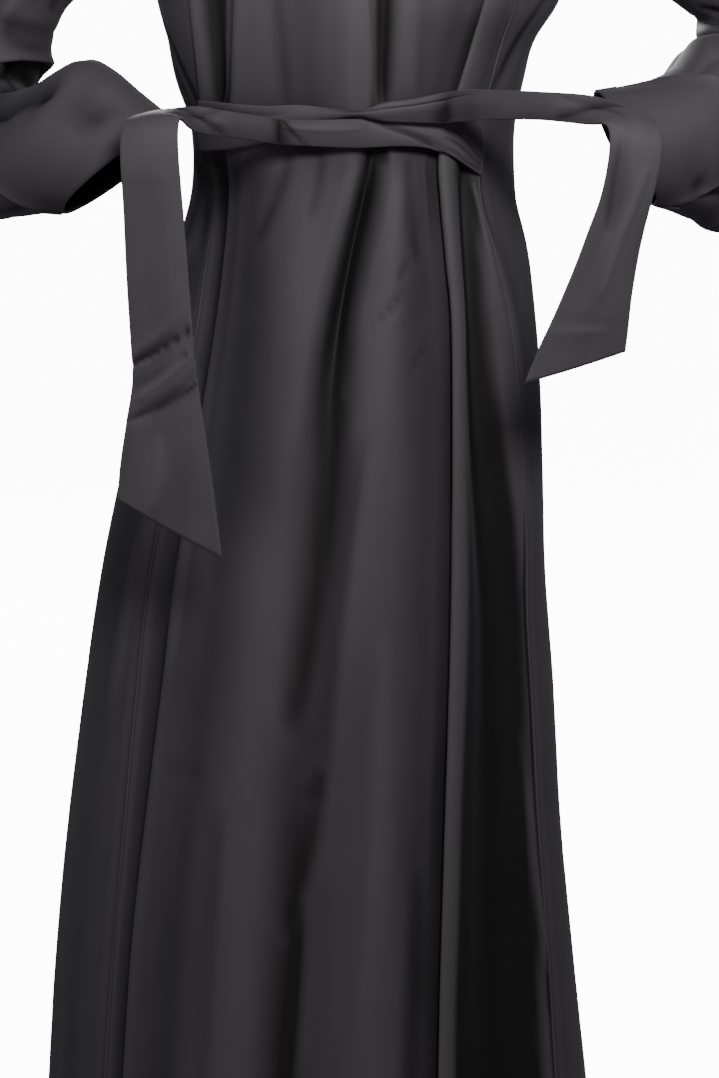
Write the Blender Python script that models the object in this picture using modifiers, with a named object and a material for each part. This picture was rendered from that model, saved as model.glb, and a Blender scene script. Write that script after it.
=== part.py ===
"""A black crepe abaya in its worn pose, open and hollow inside.

The front and the two halves of the back hang from the shoulders, with a side panel between
them on each side. Two wide sleeves with gores bend forward at the elbow, and two ties cross
at the waist, run out to both sides, turn down and hang.
Metres, +Z up, the front faces -Y. The origin lies between the shoulders at the neck base.
"""

import math
from collections import namedtuple

import bpy
from mathutils import Vector

# Cloth
WALL = 0.0014
TIE_WALL = 0.0022

# What is drawn back from each seam
ARMHOLE_GAP = 0.0011
SIDE_SEAM_CUT = 0.00045
SLEEVE_SEAM_CUT = 0.0008
SHOULDER_SEAM_CUT = 0.0006

# Armholes
UNDERARM_DIP = 0.018
ARMHOLE_SCOOP = 0.014
UNDERARM_EASE = 0.014
EASE_RING = 0.3
SEAM_MEETING = 0.002

# How round the chest rises to the shoulder, and where across it that and the scoop begin
CENTRE_ROUNDING = 0.45
ROUNDING_FROM = 0.3
SCOOP_FROM = 0.9

# Heights and shoulders
SHOULDER_X = 0.190
SHOULDER_Z = -0.045
NECK_X = 0.082
NECK_Z = -0.004
FRONT_NECK = (-0.076, -0.078)
BACK_NECK = (0.054, -0.024)
NECK_SHARES = (0.25, 0.75)
BACK_ARMHOLE_TURN = 118.0

# Pressed folds: how far one layer lies from the next, how far its lift carries sideways,
# the depth of its turned edges, and the flat cloth beside it
LAYER = 0.0042
FOLD_SPREAD = 0.045
FOLD_TURN = 0.0018
FOLD_FLAT = 0.013
FOLD_RUN_IN = 0.00975
FOLD_RUN_OUT = 0.008
FOLD_CLOSED = 0.004

# Columns of the front between its seams and folds, of a side panel and of half the back
FRONT_SPANS = (2, 6, 5, 3)
SIDE_SPANS = 7
BACK_SPANS = 8

# Worn widths and depths at each height
Section = namedtuple("Section", "z left right front back")
BODY = [
    Section(-0.235, -0.203, 0.213, -0.128, 0.112),
    Section(-0.290, -0.191, 0.200, -0.126, 0.105),
    Section(-0.330, -0.182, 0.176, -0.120, 0.098),
    Section(-0.370, -0.173, 0.165, -0.112, 0.092),
    Section(-0.405, -0.161, 0.158, -0.106, 0.088),
    Section(-0.440, -0.158, 0.157, -0.108, 0.092),
    Section(-0.480, -0.161, 0.161, -0.116, 0.104),
    Section(-0.530, -0.174, 0.173, -0.126, 0.122),
    Section(-0.590, -0.191, 0.181, -0.135, 0.140),
    Section(-0.660, -0.209, 0.187, -0.143, 0.154),
    Section(-0.750, -0.231, 0.192, -0.151, 0.166),
    Section(-0.850, -0.252, 0.197, -0.160, 0.176),
    Section(-0.970, -0.270, 0.208, -0.168, 0.186),
    Section(-1.100, -0.287, 0.218, -0.177, 0.196),
    Section(-1.250, -0.304, 0.233, -0.187, 0.207),
    Section(-1.420, -0.316, 0.253, -0.198, 0.220),
]

# Where the seams and the pressed folds of the front run, seen from the front
Lines = namedtuple("Lines", "z left_seam left_fold centre_fold right_fold right_seam")
LINES = [
    Lines(-0.235, -0.158, -0.109, 0.006, 0.134, 0.168),
    Lines(-0.290, -0.154, -0.110, 0.006, 0.122, 0.153),
    Lines(-0.330, -0.151, -0.112, 0.006, 0.111, 0.140),
    Lines(-0.370, -0.148, -0.114, 0.006, 0.099, 0.129),
    Lines(-0.405, -0.147, -0.118, 0.009, 0.088, 0.120),
    Lines(-0.440, -0.149, -0.124, 0.014, 0.080, 0.118),
    Lines(-0.480, -0.153, -0.131, 0.010, 0.082, 0.122),
    Lines(-0.530, -0.160, -0.138, -0.002, 0.087, 0.134),
    Lines(-0.590, -0.168, -0.146, -0.014, 0.092, 0.148),
    Lines(-0.660, -0.180, -0.157, -0.022, 0.093, 0.159),
    Lines(-0.750, -0.195, -0.170, -0.023, 0.094, 0.168),
    Lines(-0.850, -0.211, -0.182, -0.025, 0.094, 0.178),
    Lines(-0.970, -0.223, -0.197, -0.027, 0.092, 0.188),
    Lines(-1.100, -0.236, -0.214, -0.040, 0.088, 0.196),
    Lines(-1.250, -0.251, -0.231, -0.058, 0.084, 0.206),
    Lines(-1.420, -0.264, -0.243, -0.064, 0.082, 0.216),
]

# How far each pressed fold laps over the cloth beside it; below nought it lies open
Laps = namedtuple("Laps", "z left centre right")
LAPS = [
    Laps(-0.235, -0.012, -0.012, -0.012),
    Laps(-0.262, 0.000, 0.000, 0.000),
    Laps(-0.290, 0.008, 0.008, 0.007),
    Laps(-0.370, 0.010, 0.011, 0.010),
    Laps(-0.390, 0.010, 0.008, 0.011),
    Laps(-0.420, 0.011, 0.000, 0.012),
    Laps(-0.450, 0.011, -0.010, 0.013),
    Laps(-0.525, 0.011, -0.012, 0.015),
    Laps(-0.745, 0.011, -0.012, 0.014),
    Laps(-1.420, 0.009, -0.012, 0.011),
]
Lifts = namedtuple("Lifts", "z left centre right")
LIFTS = [
    Lifts(-0.235, 0.0, 0.0, 0.0),
    Lifts(-0.262, 1.0, -1.0, 1.0),
    Lifts(-0.290, 1.0, -1.0, 1.0),
    Lifts(-0.390, 1.0, -1.0, 1.0),
    Lifts(-0.420, 1.0, -0.6, 1.0),
    Lifts(-0.450, 1.0, 0.0, 1.0),
    Lifts(-0.620, 1.0, 0.0, 1.0),
    Lifts(-1.420, 1.0, 0.0, 1.0),
]

# Soft valleys and ridges of the front: across from the middle, half width, and height
Soft = namedtuple("Soft", "z x half_width height")
FRONT_SOFTS = [
    [  # the valley that runs down from the crossed ties
        Soft(-0.425, 0.021, 0.012, 0.000),
        Soft(-0.450, 0.016, 0.012, -0.009),
        Soft(-0.485, 0.010, 0.012, -0.014),
        Soft(-0.530, -0.002, 0.013, -0.015),
        Soft(-0.590, -0.014, 0.018, -0.014),
        Soft(-0.660, -0.021, 0.023, -0.011),
        Soft(-0.760, -0.024, 0.028, -0.006),
        Soft(-0.900, -0.028, 0.030, -0.003),
        Soft(-1.420, -0.060, 0.030, -0.006),
    ],
    [  # the full ridge on its left
        Soft(-0.430, -0.060, 0.030, 0.000),
        Soft(-0.500, -0.066, 0.032, 0.009),
        Soft(-0.620, -0.072, 0.034, 0.010),
        Soft(-0.780, -0.085, 0.040, 0.005),
        Soft(-1.420, -0.150, 0.045, 0.008),
    ],
    [  # the lesser ridge on its right
        Soft(-0.430, 0.046, 0.018, 0.000),
        Soft(-0.480, 0.042, 0.020, 0.008),
        Soft(-0.600, 0.030, 0.024, 0.006),
        Soft(-0.800, 0.025, 0.035, 0.005),
        Soft(-1.420, 0.010, 0.045, 0.010),
    ],
    [  # the shaded valley inside the left fold
        Soft(-0.440, -0.104, 0.014, 0.000),
        Soft(-0.500, -0.108, 0.016, -0.010),
        Soft(-0.600, -0.114, 0.019, -0.013),
        Soft(-0.730, -0.122, 0.022, -0.010),
        Soft(-0.900, -0.150, 0.024, -0.002),
        Soft(-1.420, -0.190, 0.024, -0.004),
    ],
    [  # the deep valley between the right fold and the right seam
        Soft(-0.440, 0.102, 0.010, 0.000),
        Soft(-0.490, 0.106, 0.011, -0.010),
        Soft(-0.600, 0.118, 0.013, -0.015),
        Soft(-0.850, 0.128, 0.017, -0.016),
        Soft(-1.420, 0.140, 0.026, -0.018),
    ],
    [  # the valley left of the left fold above the ties
        Soft(-0.250, -0.136, 0.010, 0.000),
        Soft(-0.300, -0.134, 0.010, -0.009),
        Soft(-0.370, -0.131, 0.009, -0.009),
        Soft(-0.400, -0.130, 0.009, 0.000),
    ],
    [  # the valley right of the centre fold above the ties
        Soft(-0.250, 0.032, 0.011, 0.000),
        Soft(-0.290, 0.029, 0.011, -0.008),
        Soft(-0.370, 0.027, 0.010, -0.008),
        Soft(-0.400, 0.026, 0.010, 0.000),
    ],
]

# Soft flutes of the sides and back, placed by their turn from the front
Flute = namedtuple("Flute", "z turn half_width height")
BACK_FLUTES = [
    [Flute(-0.44, 98, 9, 0.0), Flute(-0.70, 97, 9, -0.006), Flute(-1.42, 95, 9, -0.016)],
    [Flute(-0.44, 122, 10, 0.0), Flute(-0.75, 121, 10, 0.007), Flute(-1.42, 118, 10, 0.016)],
    [Flute(-0.40, 147, 9, -0.002), Flute(-0.62, 146, 9, -0.010), Flute(-1.42, 143, 10, -0.020)],
    [Flute(-0.40, 171, 8, 0.001), Flute(-0.66, 170, 9, 0.008), Flute(-1.42, 168, 10, 0.014)],
    [Flute(-0.40, 193, 8, -0.003), Flute(-0.60, 194, 9, -0.011), Flute(-1.42, 196, 11, -0.018)],
    [Flute(-0.44, 218, 9, 0.0), Flute(-0.80, 220, 10, 0.009), Flute(-1.42, 222, 11, 0.018)],
    [Flute(-0.44, 245, 8, 0.0), Flute(-0.68, 246, 9, -0.009), Flute(-1.42, 248, 10, -0.018)],
    [Flute(-0.44, 268, 8, 0.0), Flute(-0.85, 269, 9, 0.005), Flute(-1.42, 270, 9, 0.012)],
]

# Heights of the rows of the panels below the chest, and the steps from chest to shoulder
ROW_HEIGHTS = [
    -0.235, -0.262, -0.290, -0.325, -0.360, -0.390, -0.420, -0.450, -0.485, -0.525, -0.570,
    -0.620, -0.680, -0.745, -0.815, -0.890, -0.970, -1.055, -1.145, -1.235, -1.330, -1.420,
]
CHEST_STEPS = [0.14, 0.28, 0.42, 0.56, 0.70, 0.82, 0.92, 1.0]

# A sleeve station: its middle, the reach towards the outer side of the bend, the reach
# forward, and the turns between which the gore lies
Station = namedtuple("Station", "step x y z ux uy uz fx fy fz gore_from gore_to")
LEFT_SLEEVE = [
    Station(1, -0.240, 0.004, -0.153, -0.021, 0.000, 0.094, -0.008, -0.070, 0.000, 92, 92),
    Station(2, -0.290, 0.010, -0.195, -0.053, 0.004, 0.069, -0.006, -0.070, 0.000, 94, 94),
    Station(3, -0.345, 0.015, -0.245, -0.064, 0.010, 0.050, -0.009, -0.069, 0.002, 96, 96),
    Station(4, -0.374, 0.020, -0.298, -0.077, 0.026, 0.022, -0.020, -0.066, 0.003, 98, 98),
    Station(5, -0.375, 0.018, -0.352, -0.073, 0.045, -0.004, -0.036, -0.058, 0.002, 102, 106),
    Station(6, -0.373, -0.008, -0.407, -0.043, 0.031, -0.054, -0.037, -0.052, 0.000, 104, 122),
    Station(7, -0.342, -0.055, -0.438, -0.010, 0.000, -0.058, -0.034, -0.048, 0.000, 108, 158),
    Station(8, -0.309, -0.090, -0.434, -0.018, 0.002, -0.062, -0.030, -0.050, 0.000, 70, 178),
    Station(9, -0.273, -0.112, -0.421, -0.027, 0.007, -0.071, -0.026, -0.052, 0.000, 28, 188),
    Station(10, -0.242, -0.125, -0.434, -0.042, 0.010, -0.056, -0.014, -0.050, 0.003, 9, 189),
    Station(11, -0.217, -0.134, -0.449, -0.055, 0.012, -0.041, -0.004, -0.046, 0.008, 2, 190),
]
RIGHT_SLEEVE = [
    Station(1, 0.248, 0.004, -0.152, 0.021, 0.000, 0.093, 0.008, -0.070, 0.000, 92, 92),
    Station(2, 0.302, 0.010, -0.190, 0.052, 0.004, 0.070, 0.006, -0.070, 0.000, 94, 94),
    Station(3, 0.364, 0.015, -0.234, 0.058, 0.010, 0.052, 0.009, -0.069, 0.002, 96, 96),
    Station(4, 0.408, 0.020, -0.280, 0.071, 0.026, 0.026, 0.020, -0.068, 0.003, 97, 97),
    Station(5, 0.416, 0.016, -0.334, 0.072, 0.043, -0.014, 0.036, -0.060, 0.002, 92, 96),
    Station(6, 0.408, -0.013, -0.404, 0.044, 0.030, -0.056, 0.037, -0.053, 0.000, 84, 98),
    Station(7, 0.359, -0.064, -0.419, 0.006, 0.000, -0.092, 0.034, -0.048, 0.000, 72, 100),
    Station(8, 0.326, -0.088, -0.415, 0.003, 0.002, -0.085, 0.028, -0.052, 0.000, 62, 118),
    Station(9, 0.304, -0.106, -0.424, 0.002, 0.004, -0.067, 0.026, -0.052, 0.000, 42, 154),
    Station(10, 0.276, -0.122, -0.429, 0.014, 0.006, -0.057, 0.014, -0.050, 0.002, 16, 180),
    Station(11, 0.252, -0.135, -0.431, 0.030, 0.008, -0.052, 0.004, -0.046, 0.006, 2, 186),
]
GORE_COLUMNS = 8
GORE_TIP_STEP = 5
CUFF_STEP = 11
FOREARM_SPLIT = 2

# A tie where it lies on the body: across, up, how far out, and its width
Laid = namedtuple("Laid", "x z out width")
# A tie where it runs free: its middle, its width and the direction of its width
Free = namedtuple("Free", "x y z width wx wy wz")
RIGHT_TIE_LAID = [
    Laid(0.1195, -0.4300, 0.0032, 0.052),
    Laid(0.1080, -0.4270, 0.0066, 0.044),
    Laid(0.0920, -0.4215, 0.0095, 0.034),
    Laid(0.0700, -0.4175, 0.0115, 0.026),
    Laid(0.0450, -0.4165, 0.0120, 0.023),
    Laid(0.0200, -0.4165, 0.0120, 0.025),
    Laid(0.0000, -0.4170, 0.0125, 0.025),
    Laid(-0.0250, -0.4175, 0.0140, 0.023),
    Laid(-0.0600, -0.4175, 0.0180, 0.022),
]
RIGHT_TIE_FREE = [
    Free(-0.085, -0.143, -0.4130, 0.022, 0.00, 0.00, 1.00),
    Free(-0.110, -0.165, -0.4090, 0.022, 0.00, 0.10, 0.99),
    Free(-0.135, -0.184, -0.4050, 0.025, -0.10, 0.40, 0.90),
    Free(-0.155, -0.196, -0.4020, 0.032, -0.50, 0.72, 0.45),
    Free(-0.170, -0.206, -0.4010, 0.041, -0.88, 0.45, 0.10),
    Free(-0.178, -0.219, -0.4050, 0.047, -1.00, 0.12, 0.00),
    Free(-0.180, -0.228, -0.4170, 0.049, -1.00, 0.05, 0.00),
    Free(-0.180, -0.230, -0.4400, 0.050, -1.00, 0.00, 0.00),
    Free(-0.178, -0.229, -0.4760, 0.051, -1.00, 0.00, 0.00),
    Free(-0.175, -0.226, -0.5490, 0.054, -1.00, 0.03, 0.02),
    Free(-0.172, -0.222, -0.6100, 0.056, -0.99, 0.06, 0.08),
    Free(-0.170, -0.220, -0.6420, 0.060, -0.98, 0.06, 0.18),
    Free(-0.170, -0.219, -0.6780, 0.072, -0.96, 0.04, 0.26),
    Free(-0.170, -0.217, -0.7100, 0.084, -0.93, 0.02, 0.34),
    Free(-0.170, -0.214, -0.7420, 0.096, -0.90, 0.00, 0.42),
    Free(-0.169, -0.211, -0.7750, 0.108, -0.86, 0.00, 0.50),
]
LEFT_TIE_LAID = [
    Laid(-0.1460, -0.4110, 0.0034, 0.046),
    Laid(-0.1300, -0.4110, 0.0050, 0.044),
    Laid(-0.1100, -0.4110, 0.0078, 0.040),
    Laid(-0.0800, -0.4090, 0.0080, 0.032),
    Laid(-0.0500, -0.4030, 0.0082, 0.022),
    Laid(-0.0280, -0.4005, 0.0084, 0.013),
    Laid(-0.0080, -0.3995, 0.0105, 0.006),
    Laid(0.0060, -0.3990, 0.0150, 0.005),
    Laid(0.0160, -0.3985, 0.0180, 0.010),
    Laid(0.0280, -0.3975, 0.0200, 0.016),
    Laid(0.0500, -0.3965, 0.0225, 0.020),
    Laid(0.0750, -0.3940, 0.0260, 0.026),
]
LEFT_TIE_FREE = [
    Free(0.104, -0.128, -0.3915, 0.027, 0.00, 0.00, 1.00),
    Free(0.137, -0.151, -0.3910, 0.025, 0.00, 0.10, 0.99),
    Free(0.170, -0.172, -0.3920, 0.024, 0.00, 0.10, 0.99),
    Free(0.198, -0.188, -0.3940, 0.026, 0.10, 0.35, 0.93),
    Free(0.220, -0.199, -0.3970, 0.033, 0.42, 0.65, 0.60),
    Free(0.236, -0.209, -0.4010, 0.040, 0.80, 0.50, 0.25),
    Free(0.247, -0.220, -0.4080, 0.044, 0.96, 0.22, 0.08),
    Free(0.250, -0.227, -0.4230, 0.045, 1.00, 0.05, 0.04),
    Free(0.248, -0.228, -0.4460, 0.045, 1.00, 0.00, 0.05),
    Free(0.243, -0.226, -0.4720, 0.046, 0.99, 0.00, 0.08),
    Free(0.235, -0.223, -0.5000, 0.050, 0.99, 0.00, 0.12),
    Free(0.227, -0.219, -0.5300, 0.056, 0.98, 0.00, 0.16),
    Free(0.217, -0.214, -0.5680, 0.068, 0.97, 0.00, 0.20),
    Free(0.209, -0.209, -0.5980, 0.082, 0.96, 0.00, 0.25),
    Free(0.202, -0.205, -0.6260, 0.094, 0.95, 0.00, 0.30),
]
TIE_CROWN = 0.003
TIE_ACROSS = 6
TIE_STEPS = 2


def slope(rows, index, column):
    """The slope of a table's column at one row."""
    before = rows[max(index - 1, 0)]
    after = rows[min(index + 1, len(rows) - 1)]
    return (after[column] - before[column]) / (after[0] - before[0])


def read(rows, key):
    """Read a table between its rows, on a smooth curve through every column."""
    order = 1.0 if rows[-1][0] > rows[0][0] else -1.0
    place = min(max(key * order, rows[0][0] * order), rows[-1][0] * order)
    index = max(i for i in range(len(rows) - 1) if rows[i][0] * order <= place)
    span = rows[index + 1][0] - rows[index][0]
    t = (place * order - rows[index][0]) / span
    values = []
    for column in range(len(rows[0])):
        start = rows[index][column]
        end = rows[index + 1][column]
        pull = slope(rows, index, column) * span
        push = slope(rows, index + 1, column) * span
        values.append(
            (2 * t**3 - 3 * t**2 + 1) * start
            + (t**3 - 2 * t**2 + t) * pull
            + (3 * t**2 - 2 * t**3) * end
            + (t**3 - t**2) * push
        )
    return type(rows[0])(*values)


def ease(t):
    """A soft step from nought to one."""
    t = min(max(t, 0.0), 1.0)
    return t * t * (3.0 - 2.0 * t)


def bump(distance, half_width):
    """A soft rounded ridge, one high at its middle."""
    return math.exp(-((distance / half_width) ** 2))


def turn_at(z, x):
    """The turn round the body, from the front, at which the front lies at x."""
    body = read(BODY, z)
    middle = (body.left + body.right) / 2
    half = (body.right - body.left) / 2
    return math.asin(min(max((x - middle) / half, -1.0), 1.0))


def turn_after(z, turn, length):
    """The turn reached after a length of cloth round the body."""
    body = read(BODY, z)
    half = (body.right - body.left) / 2
    depth = -body.front if math.cos(turn) > 0 else body.back
    reach = math.hypot(half * math.cos(turn), depth * math.sin(turn))
    return turn + length / reach


def relief(z, turn):
    """How far the soft folds stand out from the plain body at a turn."""
    body = read(BODY, z)
    x = (body.left + body.right) / 2 + (body.right - body.left) / 2 * math.sin(turn)
    height = 0.0
    front = ease(math.cos(turn) / 0.25)
    for soft in FRONT_SOFTS:
        if soft[-1].z <= z <= soft[0].z:
            here = read(soft, z)
            height += front * here.height * bump(x - here.x, here.half_width)
    degrees = math.degrees(turn) % 360.0
    for flute in BACK_FLUTES:
        here = read(flute, z)
        height += here.height * bump(degrees - here.turn, here.half_width)
    return height


def skin(z, turn, out):
    """A point of the body at a turn, moved out from its soft folds."""
    body = read(BODY, z)
    half = (body.right - body.left) / 2
    depth = -body.front if math.cos(turn) > 0 else body.back
    point = Vector(((body.left + body.right) / 2 + half * math.sin(turn), -depth * math.cos(turn), z))
    away = Vector((depth * math.sin(turn), -half * math.cos(turn), 0.0)).normalized()
    return point + away * out


def fold_points(lap, lift):
    """A pressed fold across the cloth: along it, and out from it, from left to right."""
    side = min(max(lap / FOLD_CLOSED, -1.0), 1.0)
    start = min(lap, 0.0) - FOLD_RUN_IN
    stand = lift * (1.0 - abs(side)) / 6
    return [
        (start, -lift),
        (lap - FOLD_TURN, -lift),
        (lap, -lift / 2),
        (lap - side * FOLD_TURN, -stand),
        (side * FOLD_TURN, stand),
        (0.0, lift / 2),
        (FOLD_TURN, lift),
        (FOLD_FLAT, lift),
    ]


def front_row(z):
    """The front panel's points at one height, from its left seam to its right seam."""
    lines = read(LINES, z)
    laps = read(LAPS, z)
    lifts = read(LIFTS, z)
    folds = [
        (turn_at(z, lines.left_fold), laps.left, lifts.left * LAYER),
        (turn_at(z, lines.centre_fold), laps.centre, lifts.centre * LAYER),
        (turn_at(z, lines.right_fold), laps.right, lifts.right * LAYER),
    ]
    start = turn_after(z, turn_at(z, lines.left_seam), SIDE_SEAM_CUT / 2)
    end = turn_after(z, turn_at(z, lines.right_seam), -SIDE_SEAM_CUT / 2)

    def level(turn):
        height = relief(z, turn)
        for fold_turn, _, lift in folds:
            per_turn = 1.0 / (turn_after(z, fold_turn, 1.0) - fold_turn)
            length = (turn - fold_turn) * per_turn
            room = ((end if length > 0 else start) - fold_turn) * per_turn
            spread = min(abs(room) - FOLD_FLAT, FOLD_SPREAD)
            side = math.copysign(lift, length * lift)
            height += side * (1.0 - ease((abs(length) - FOLD_FLAT) / spread))
        return height

    row = []
    left = start
    for (fold_turn, lap, lift), spans in zip(folds, FRONT_SPANS):
        points = fold_points(lap, lift)
        first = turn_after(z, fold_turn, points[0][0])
        for i in range(spans):
            turn = left + (first - left) * i / spans
            row.append(skin(z, turn, level(turn)))
        for along, out in points:
            turn = turn_after(z, fold_turn, along)
            held = min(abs(lift) / LAYER, 1.0)
            row.append(skin(z, turn, relief(z, turn + (fold_turn - turn) * held) + out))
        left = turn_after(z, fold_turn, points[-1][0] + FOLD_RUN_OUT)
    for i in range(FRONT_SPANS[-1] + 1):
        turn = left + (end - left) * i / FRONT_SPANS[-1]
        row.append(skin(z, turn, level(turn)))
    return row


def back_turns(z):
    """The turns of the columns of the right side, the back's halves and the left side."""
    lines = read(LINES, z)
    right = math.radians(BACK_ARMHOLE_TURN)
    seams = [
        turn_at(z, lines.right_seam),
        right,
        math.pi,
        2 * math.pi - right,
        2 * math.pi + turn_at(z, lines.left_seam),
    ]
    panels = []
    counts = (SIDE_SPANS, BACK_SPANS, BACK_SPANS, SIDE_SPANS)
    for first, last, spans in zip(seams, seams[1:], counts):
        start = turn_after(z, first, SIDE_SEAM_CUT / 2)
        end = turn_after(z, last, -SIDE_SEAM_CUT / 2)
        panels.append([start + (end - start) * i / spans for i in range(spans + 1)])
    return panels


def top_point(share, front):
    """The shoulder and neck edge of a panel; share runs from the left tip to the right tip."""
    side = -1.0 if share < 0.5 else 1.0
    inner = abs(share - 0.5) * 2.0
    cut = -SHOULDER_SEAM_CUT / 2 if front else SHOULDER_SEAM_CUT / 2
    neck_share = 1.0 - 2.0 * NECK_SHARES[0]
    if inner >= neck_share:
        t = (inner - neck_share) / (1.0 - neck_share)
        return Vector((
            side * (NECK_X + (SHOULDER_X - NECK_X) * t),
            cut,
            NECK_Z + (SHOULDER_Z - NECK_Z) * t,
        ))
    neck = FRONT_NECK if front else BACK_NECK
    angle = inner / neck_share * math.pi / 2
    return Vector((
        side * NECK_X * math.sin(angle),
        cut + (neck[0] - cut) * math.cos(angle),
        NECK_Z + (neck[1] - NECK_Z) * math.cos(angle),
    ))


def snapped(shares):
    """Shares along the top edge, with the nearest ones moved to the corners of the neck."""
    result = list(shares)
    for corner in NECK_SHARES:
        nearest = min(range(len(result)), key=lambda i: abs(result[i] - corner))
        result[nearest] = corner
    return result


def rise(low, high, step, over):
    """A point between the chest and the top edge; over rounds the way to a shoulder."""
    angle = step * math.pi / 2
    up = (1 - over) * step + over * math.sin(angle)
    back = (1 - over) * step + over * (1 - math.cos(angle))
    return Vector((
        low.x + (high.x - low.x) * ease(step),
        low.y + (high.y - low.y) * back,
        low.z + (high.z - low.z) * up,
    ))


def upper_rows(chest_row, front):
    """The rows from the chest row up to the shoulders and the neck."""
    low_x = chest_row[0].x
    high_x = chest_row[-1].x
    shares = snapped([(point.x - low_x) / (high_x - low_x) for point in chest_row])
    rows = []
    for step in CHEST_STEPS:
        row = []
        for point, share in zip(chest_row, shares):
            outward = abs(share - 0.5) * 4.0
            over = CENTRE_ROUNDING + (1.0 - CENTRE_ROUNDING) * ease(outward - ROUNDING_FROM)
            place = rise(point, top_point(share, front), step, over)
            scoop = ARMHOLE_SCOOP * ease(outward - SCOOP_FROM) * math.sin(step * math.pi)
            place.x -= math.copysign(scoop, place.x)
            row.append(place)
        rows.append(row)
    return rows


def grid_object(name, rows, wall, material):
    """An open sheet through rows of points, given its thickness."""
    width = len(rows[0])
    points = [point for row in rows for point in row]
    faces = []
    for r in range(len(rows) - 1):
        for c in range(width - 1):
            corner = r * width + c
            faces.append((corner, corner + 1, corner + width + 1, corner + width))
    mesh = bpy.data.meshes.new(name)
    mesh.from_pydata(points, [], faces)
    mesh.shade_smooth()
    mesh.materials.append(material)
    piece = bpy.data.objects.new(name, mesh)
    thickness = piece.modifiers.new("Wall", "SOLIDIFY")
    thickness.thickness = wall
    thickness.offset = 0.0
    return piece


def cloth_material(name, colour, roughness):
    """Plain cloth of one colour."""
    material = bpy.data.materials.new(name)
    material.use_nodes = True
    shader = material.node_tree.nodes["Principled BSDF"]
    shader.inputs["Base Color"].default_value = (*colour, 1.0)
    shader.inputs["Roughness"].default_value = roughness
    shader.inputs["Metallic"].default_value = 0.0
    return material


def front_panel_rows():
    """The front panel from the shoulders down to the hem."""
    body = [front_row(z) for z in ROW_HEIGHTS]
    return upper_rows(body[0], True)[::-1] + body


def side_and_back_rows():
    """The right side, the back's halves and the left side; the sides end under the armholes."""
    right, back_right, back_left, left = [], [], [], []
    for z in ROW_HEIGHTS:
        for panel, turns in zip((right, back_right, back_left, left), back_turns(z)):
            panel.append([skin(z, turn, relief(z, turn)) for turn in turns])
    for side in (right, left):
        for column in range(1, SIDE_SPANS):
            dip = UNDERARM_DIP * math.sin(column * math.pi / SIDE_SPANS)
            side[0][column].z -= dip
            side[1][column].z -= dip / 2
    chest = back_right[0] + back_left[0]
    upper = [row[::-1] for row in upper_rows(chest[::-1], False)[::-1]]
    back_right = [row[: BACK_SPANS + 1] for row in upper] + back_right
    back_left = [row[BACK_SPANS + 1 :] for row in upper] + back_left
    return right, back_right, back_left, left


def armhole_loop(front_rows, side_rows, back_rows, left):
    """The closed edge of one armhole, from the shoulder tip down the front and up the back."""
    chest = len(CHEST_STEPS)
    front_column = 0 if left else -1
    back_column = -1 if left else 0
    edge = [row[front_column] for row in front_rows[: chest + 1]]
    edge += side_rows[0][::-1] if left else side_rows[0]
    edge += [row[back_column] for row in back_rows[: chest + 1]][::-1]
    loop = [(edge[0] + edge[-1]) / 2]
    for point in edge[1:-1]:
        if (point - loop[-1]).length > SEAM_MEETING:
            loop.append(point)
    return loop


def station_point(station, turn):
    """A point of the sleeve at a station."""
    middle = Vector((station.x, station.y, station.z))
    out = Vector((station.ux, station.uy, station.uz))
    front = Vector((station.fx, station.fy, station.fz))
    return middle + out * math.cos(turn) + front * math.sin(turn)


def seam_edges(row):
    """Draw a row's two ends back from its closed seam."""
    row[0] = row[0] + (row[1] - row[0]).normalized() * SLEEVE_SEAM_CUT / 2
    row[-1] = row[-1] + (row[-2] - row[-1]).normalized() * SLEEVE_SEAM_CUT / 2
    return row


def seam_trim(station, degrees):
    """Half the seam's gap as degrees of turn at a station."""
    turn = math.radians(degrees)
    out = Vector((station.ux, station.uy, station.uz))
    front = Vector((station.fx, station.fy, station.fz))
    reach = (front * math.cos(turn) - out * math.sin(turn)).length
    return math.degrees(SLEEVE_SEAM_CUT / 2 / reach)


def arc_row(station, first, last, columns):
    """Points of the sleeve between two seams at a station, whose turns are in degrees."""
    first = first + seam_trim(station, first)
    last = last - seam_trim(station, last)
    turns = [math.radians(first + (last - first) * i / columns) for i in range(columns + 1)]
    return [station_point(station, turn) for turn in turns]


def forearm_steps():
    """The steps of the rings from the gore's tip to the cuff."""
    count = (CUFF_STEP - GORE_TIP_STEP) * FOREARM_SPLIT
    return [GORE_TIP_STEP + i / FOREARM_SPLIT for i in range(count + 1)]


def sleeve_rows(stations, loop):
    """The sleeve from its armhole to the cuff, open along its front seam and round the gore."""
    rows = []
    first = stations[0]
    columns = len(loop)
    middle = sum(loop, Vector()) / columns
    sideways = Vector((math.copysign(1.0, first.x), 0.0, 0.0))
    seam = station_point(first, math.radians(first.gore_to))
    begin = min(range(columns), key=lambda i: (loop[i] - seam).length)
    ring = [loop[(begin + i) % columns] for i in range(columns + 1)]
    for share in (0.0, EASE_RING):
        row = []
        for i, inner in enumerate(ring):
            outer = station_point(first, math.radians(first.gore_to + 360.0 * i / columns))
            inward = Vector((0.0, middle.y - inner.y, middle.z - inner.z)).normalized()
            start = inner + (sideways + inward) * ARMHOLE_GAP
            row.append(start + (outer - inner + sideways * UNDERARM_EASE) * share)
        rows.append(seam_edges(row))
    steps = [float(step) for step in range(1, GORE_TIP_STEP)] + forearm_steps()
    for step in steps:
        station = read(stations, step)
        rows.append(arc_row(station, station.gore_to, station.gore_from + 360.0, columns))
    return rows


def gore_rows(stations):
    """The wedge set into the front of the forearm."""
    rows = []
    for step in forearm_steps():
        station = read(stations, step)
        rows.append(arc_row(station, station.gore_from, station.gore_to, GORE_COLUMNS))
    return rows


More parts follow.
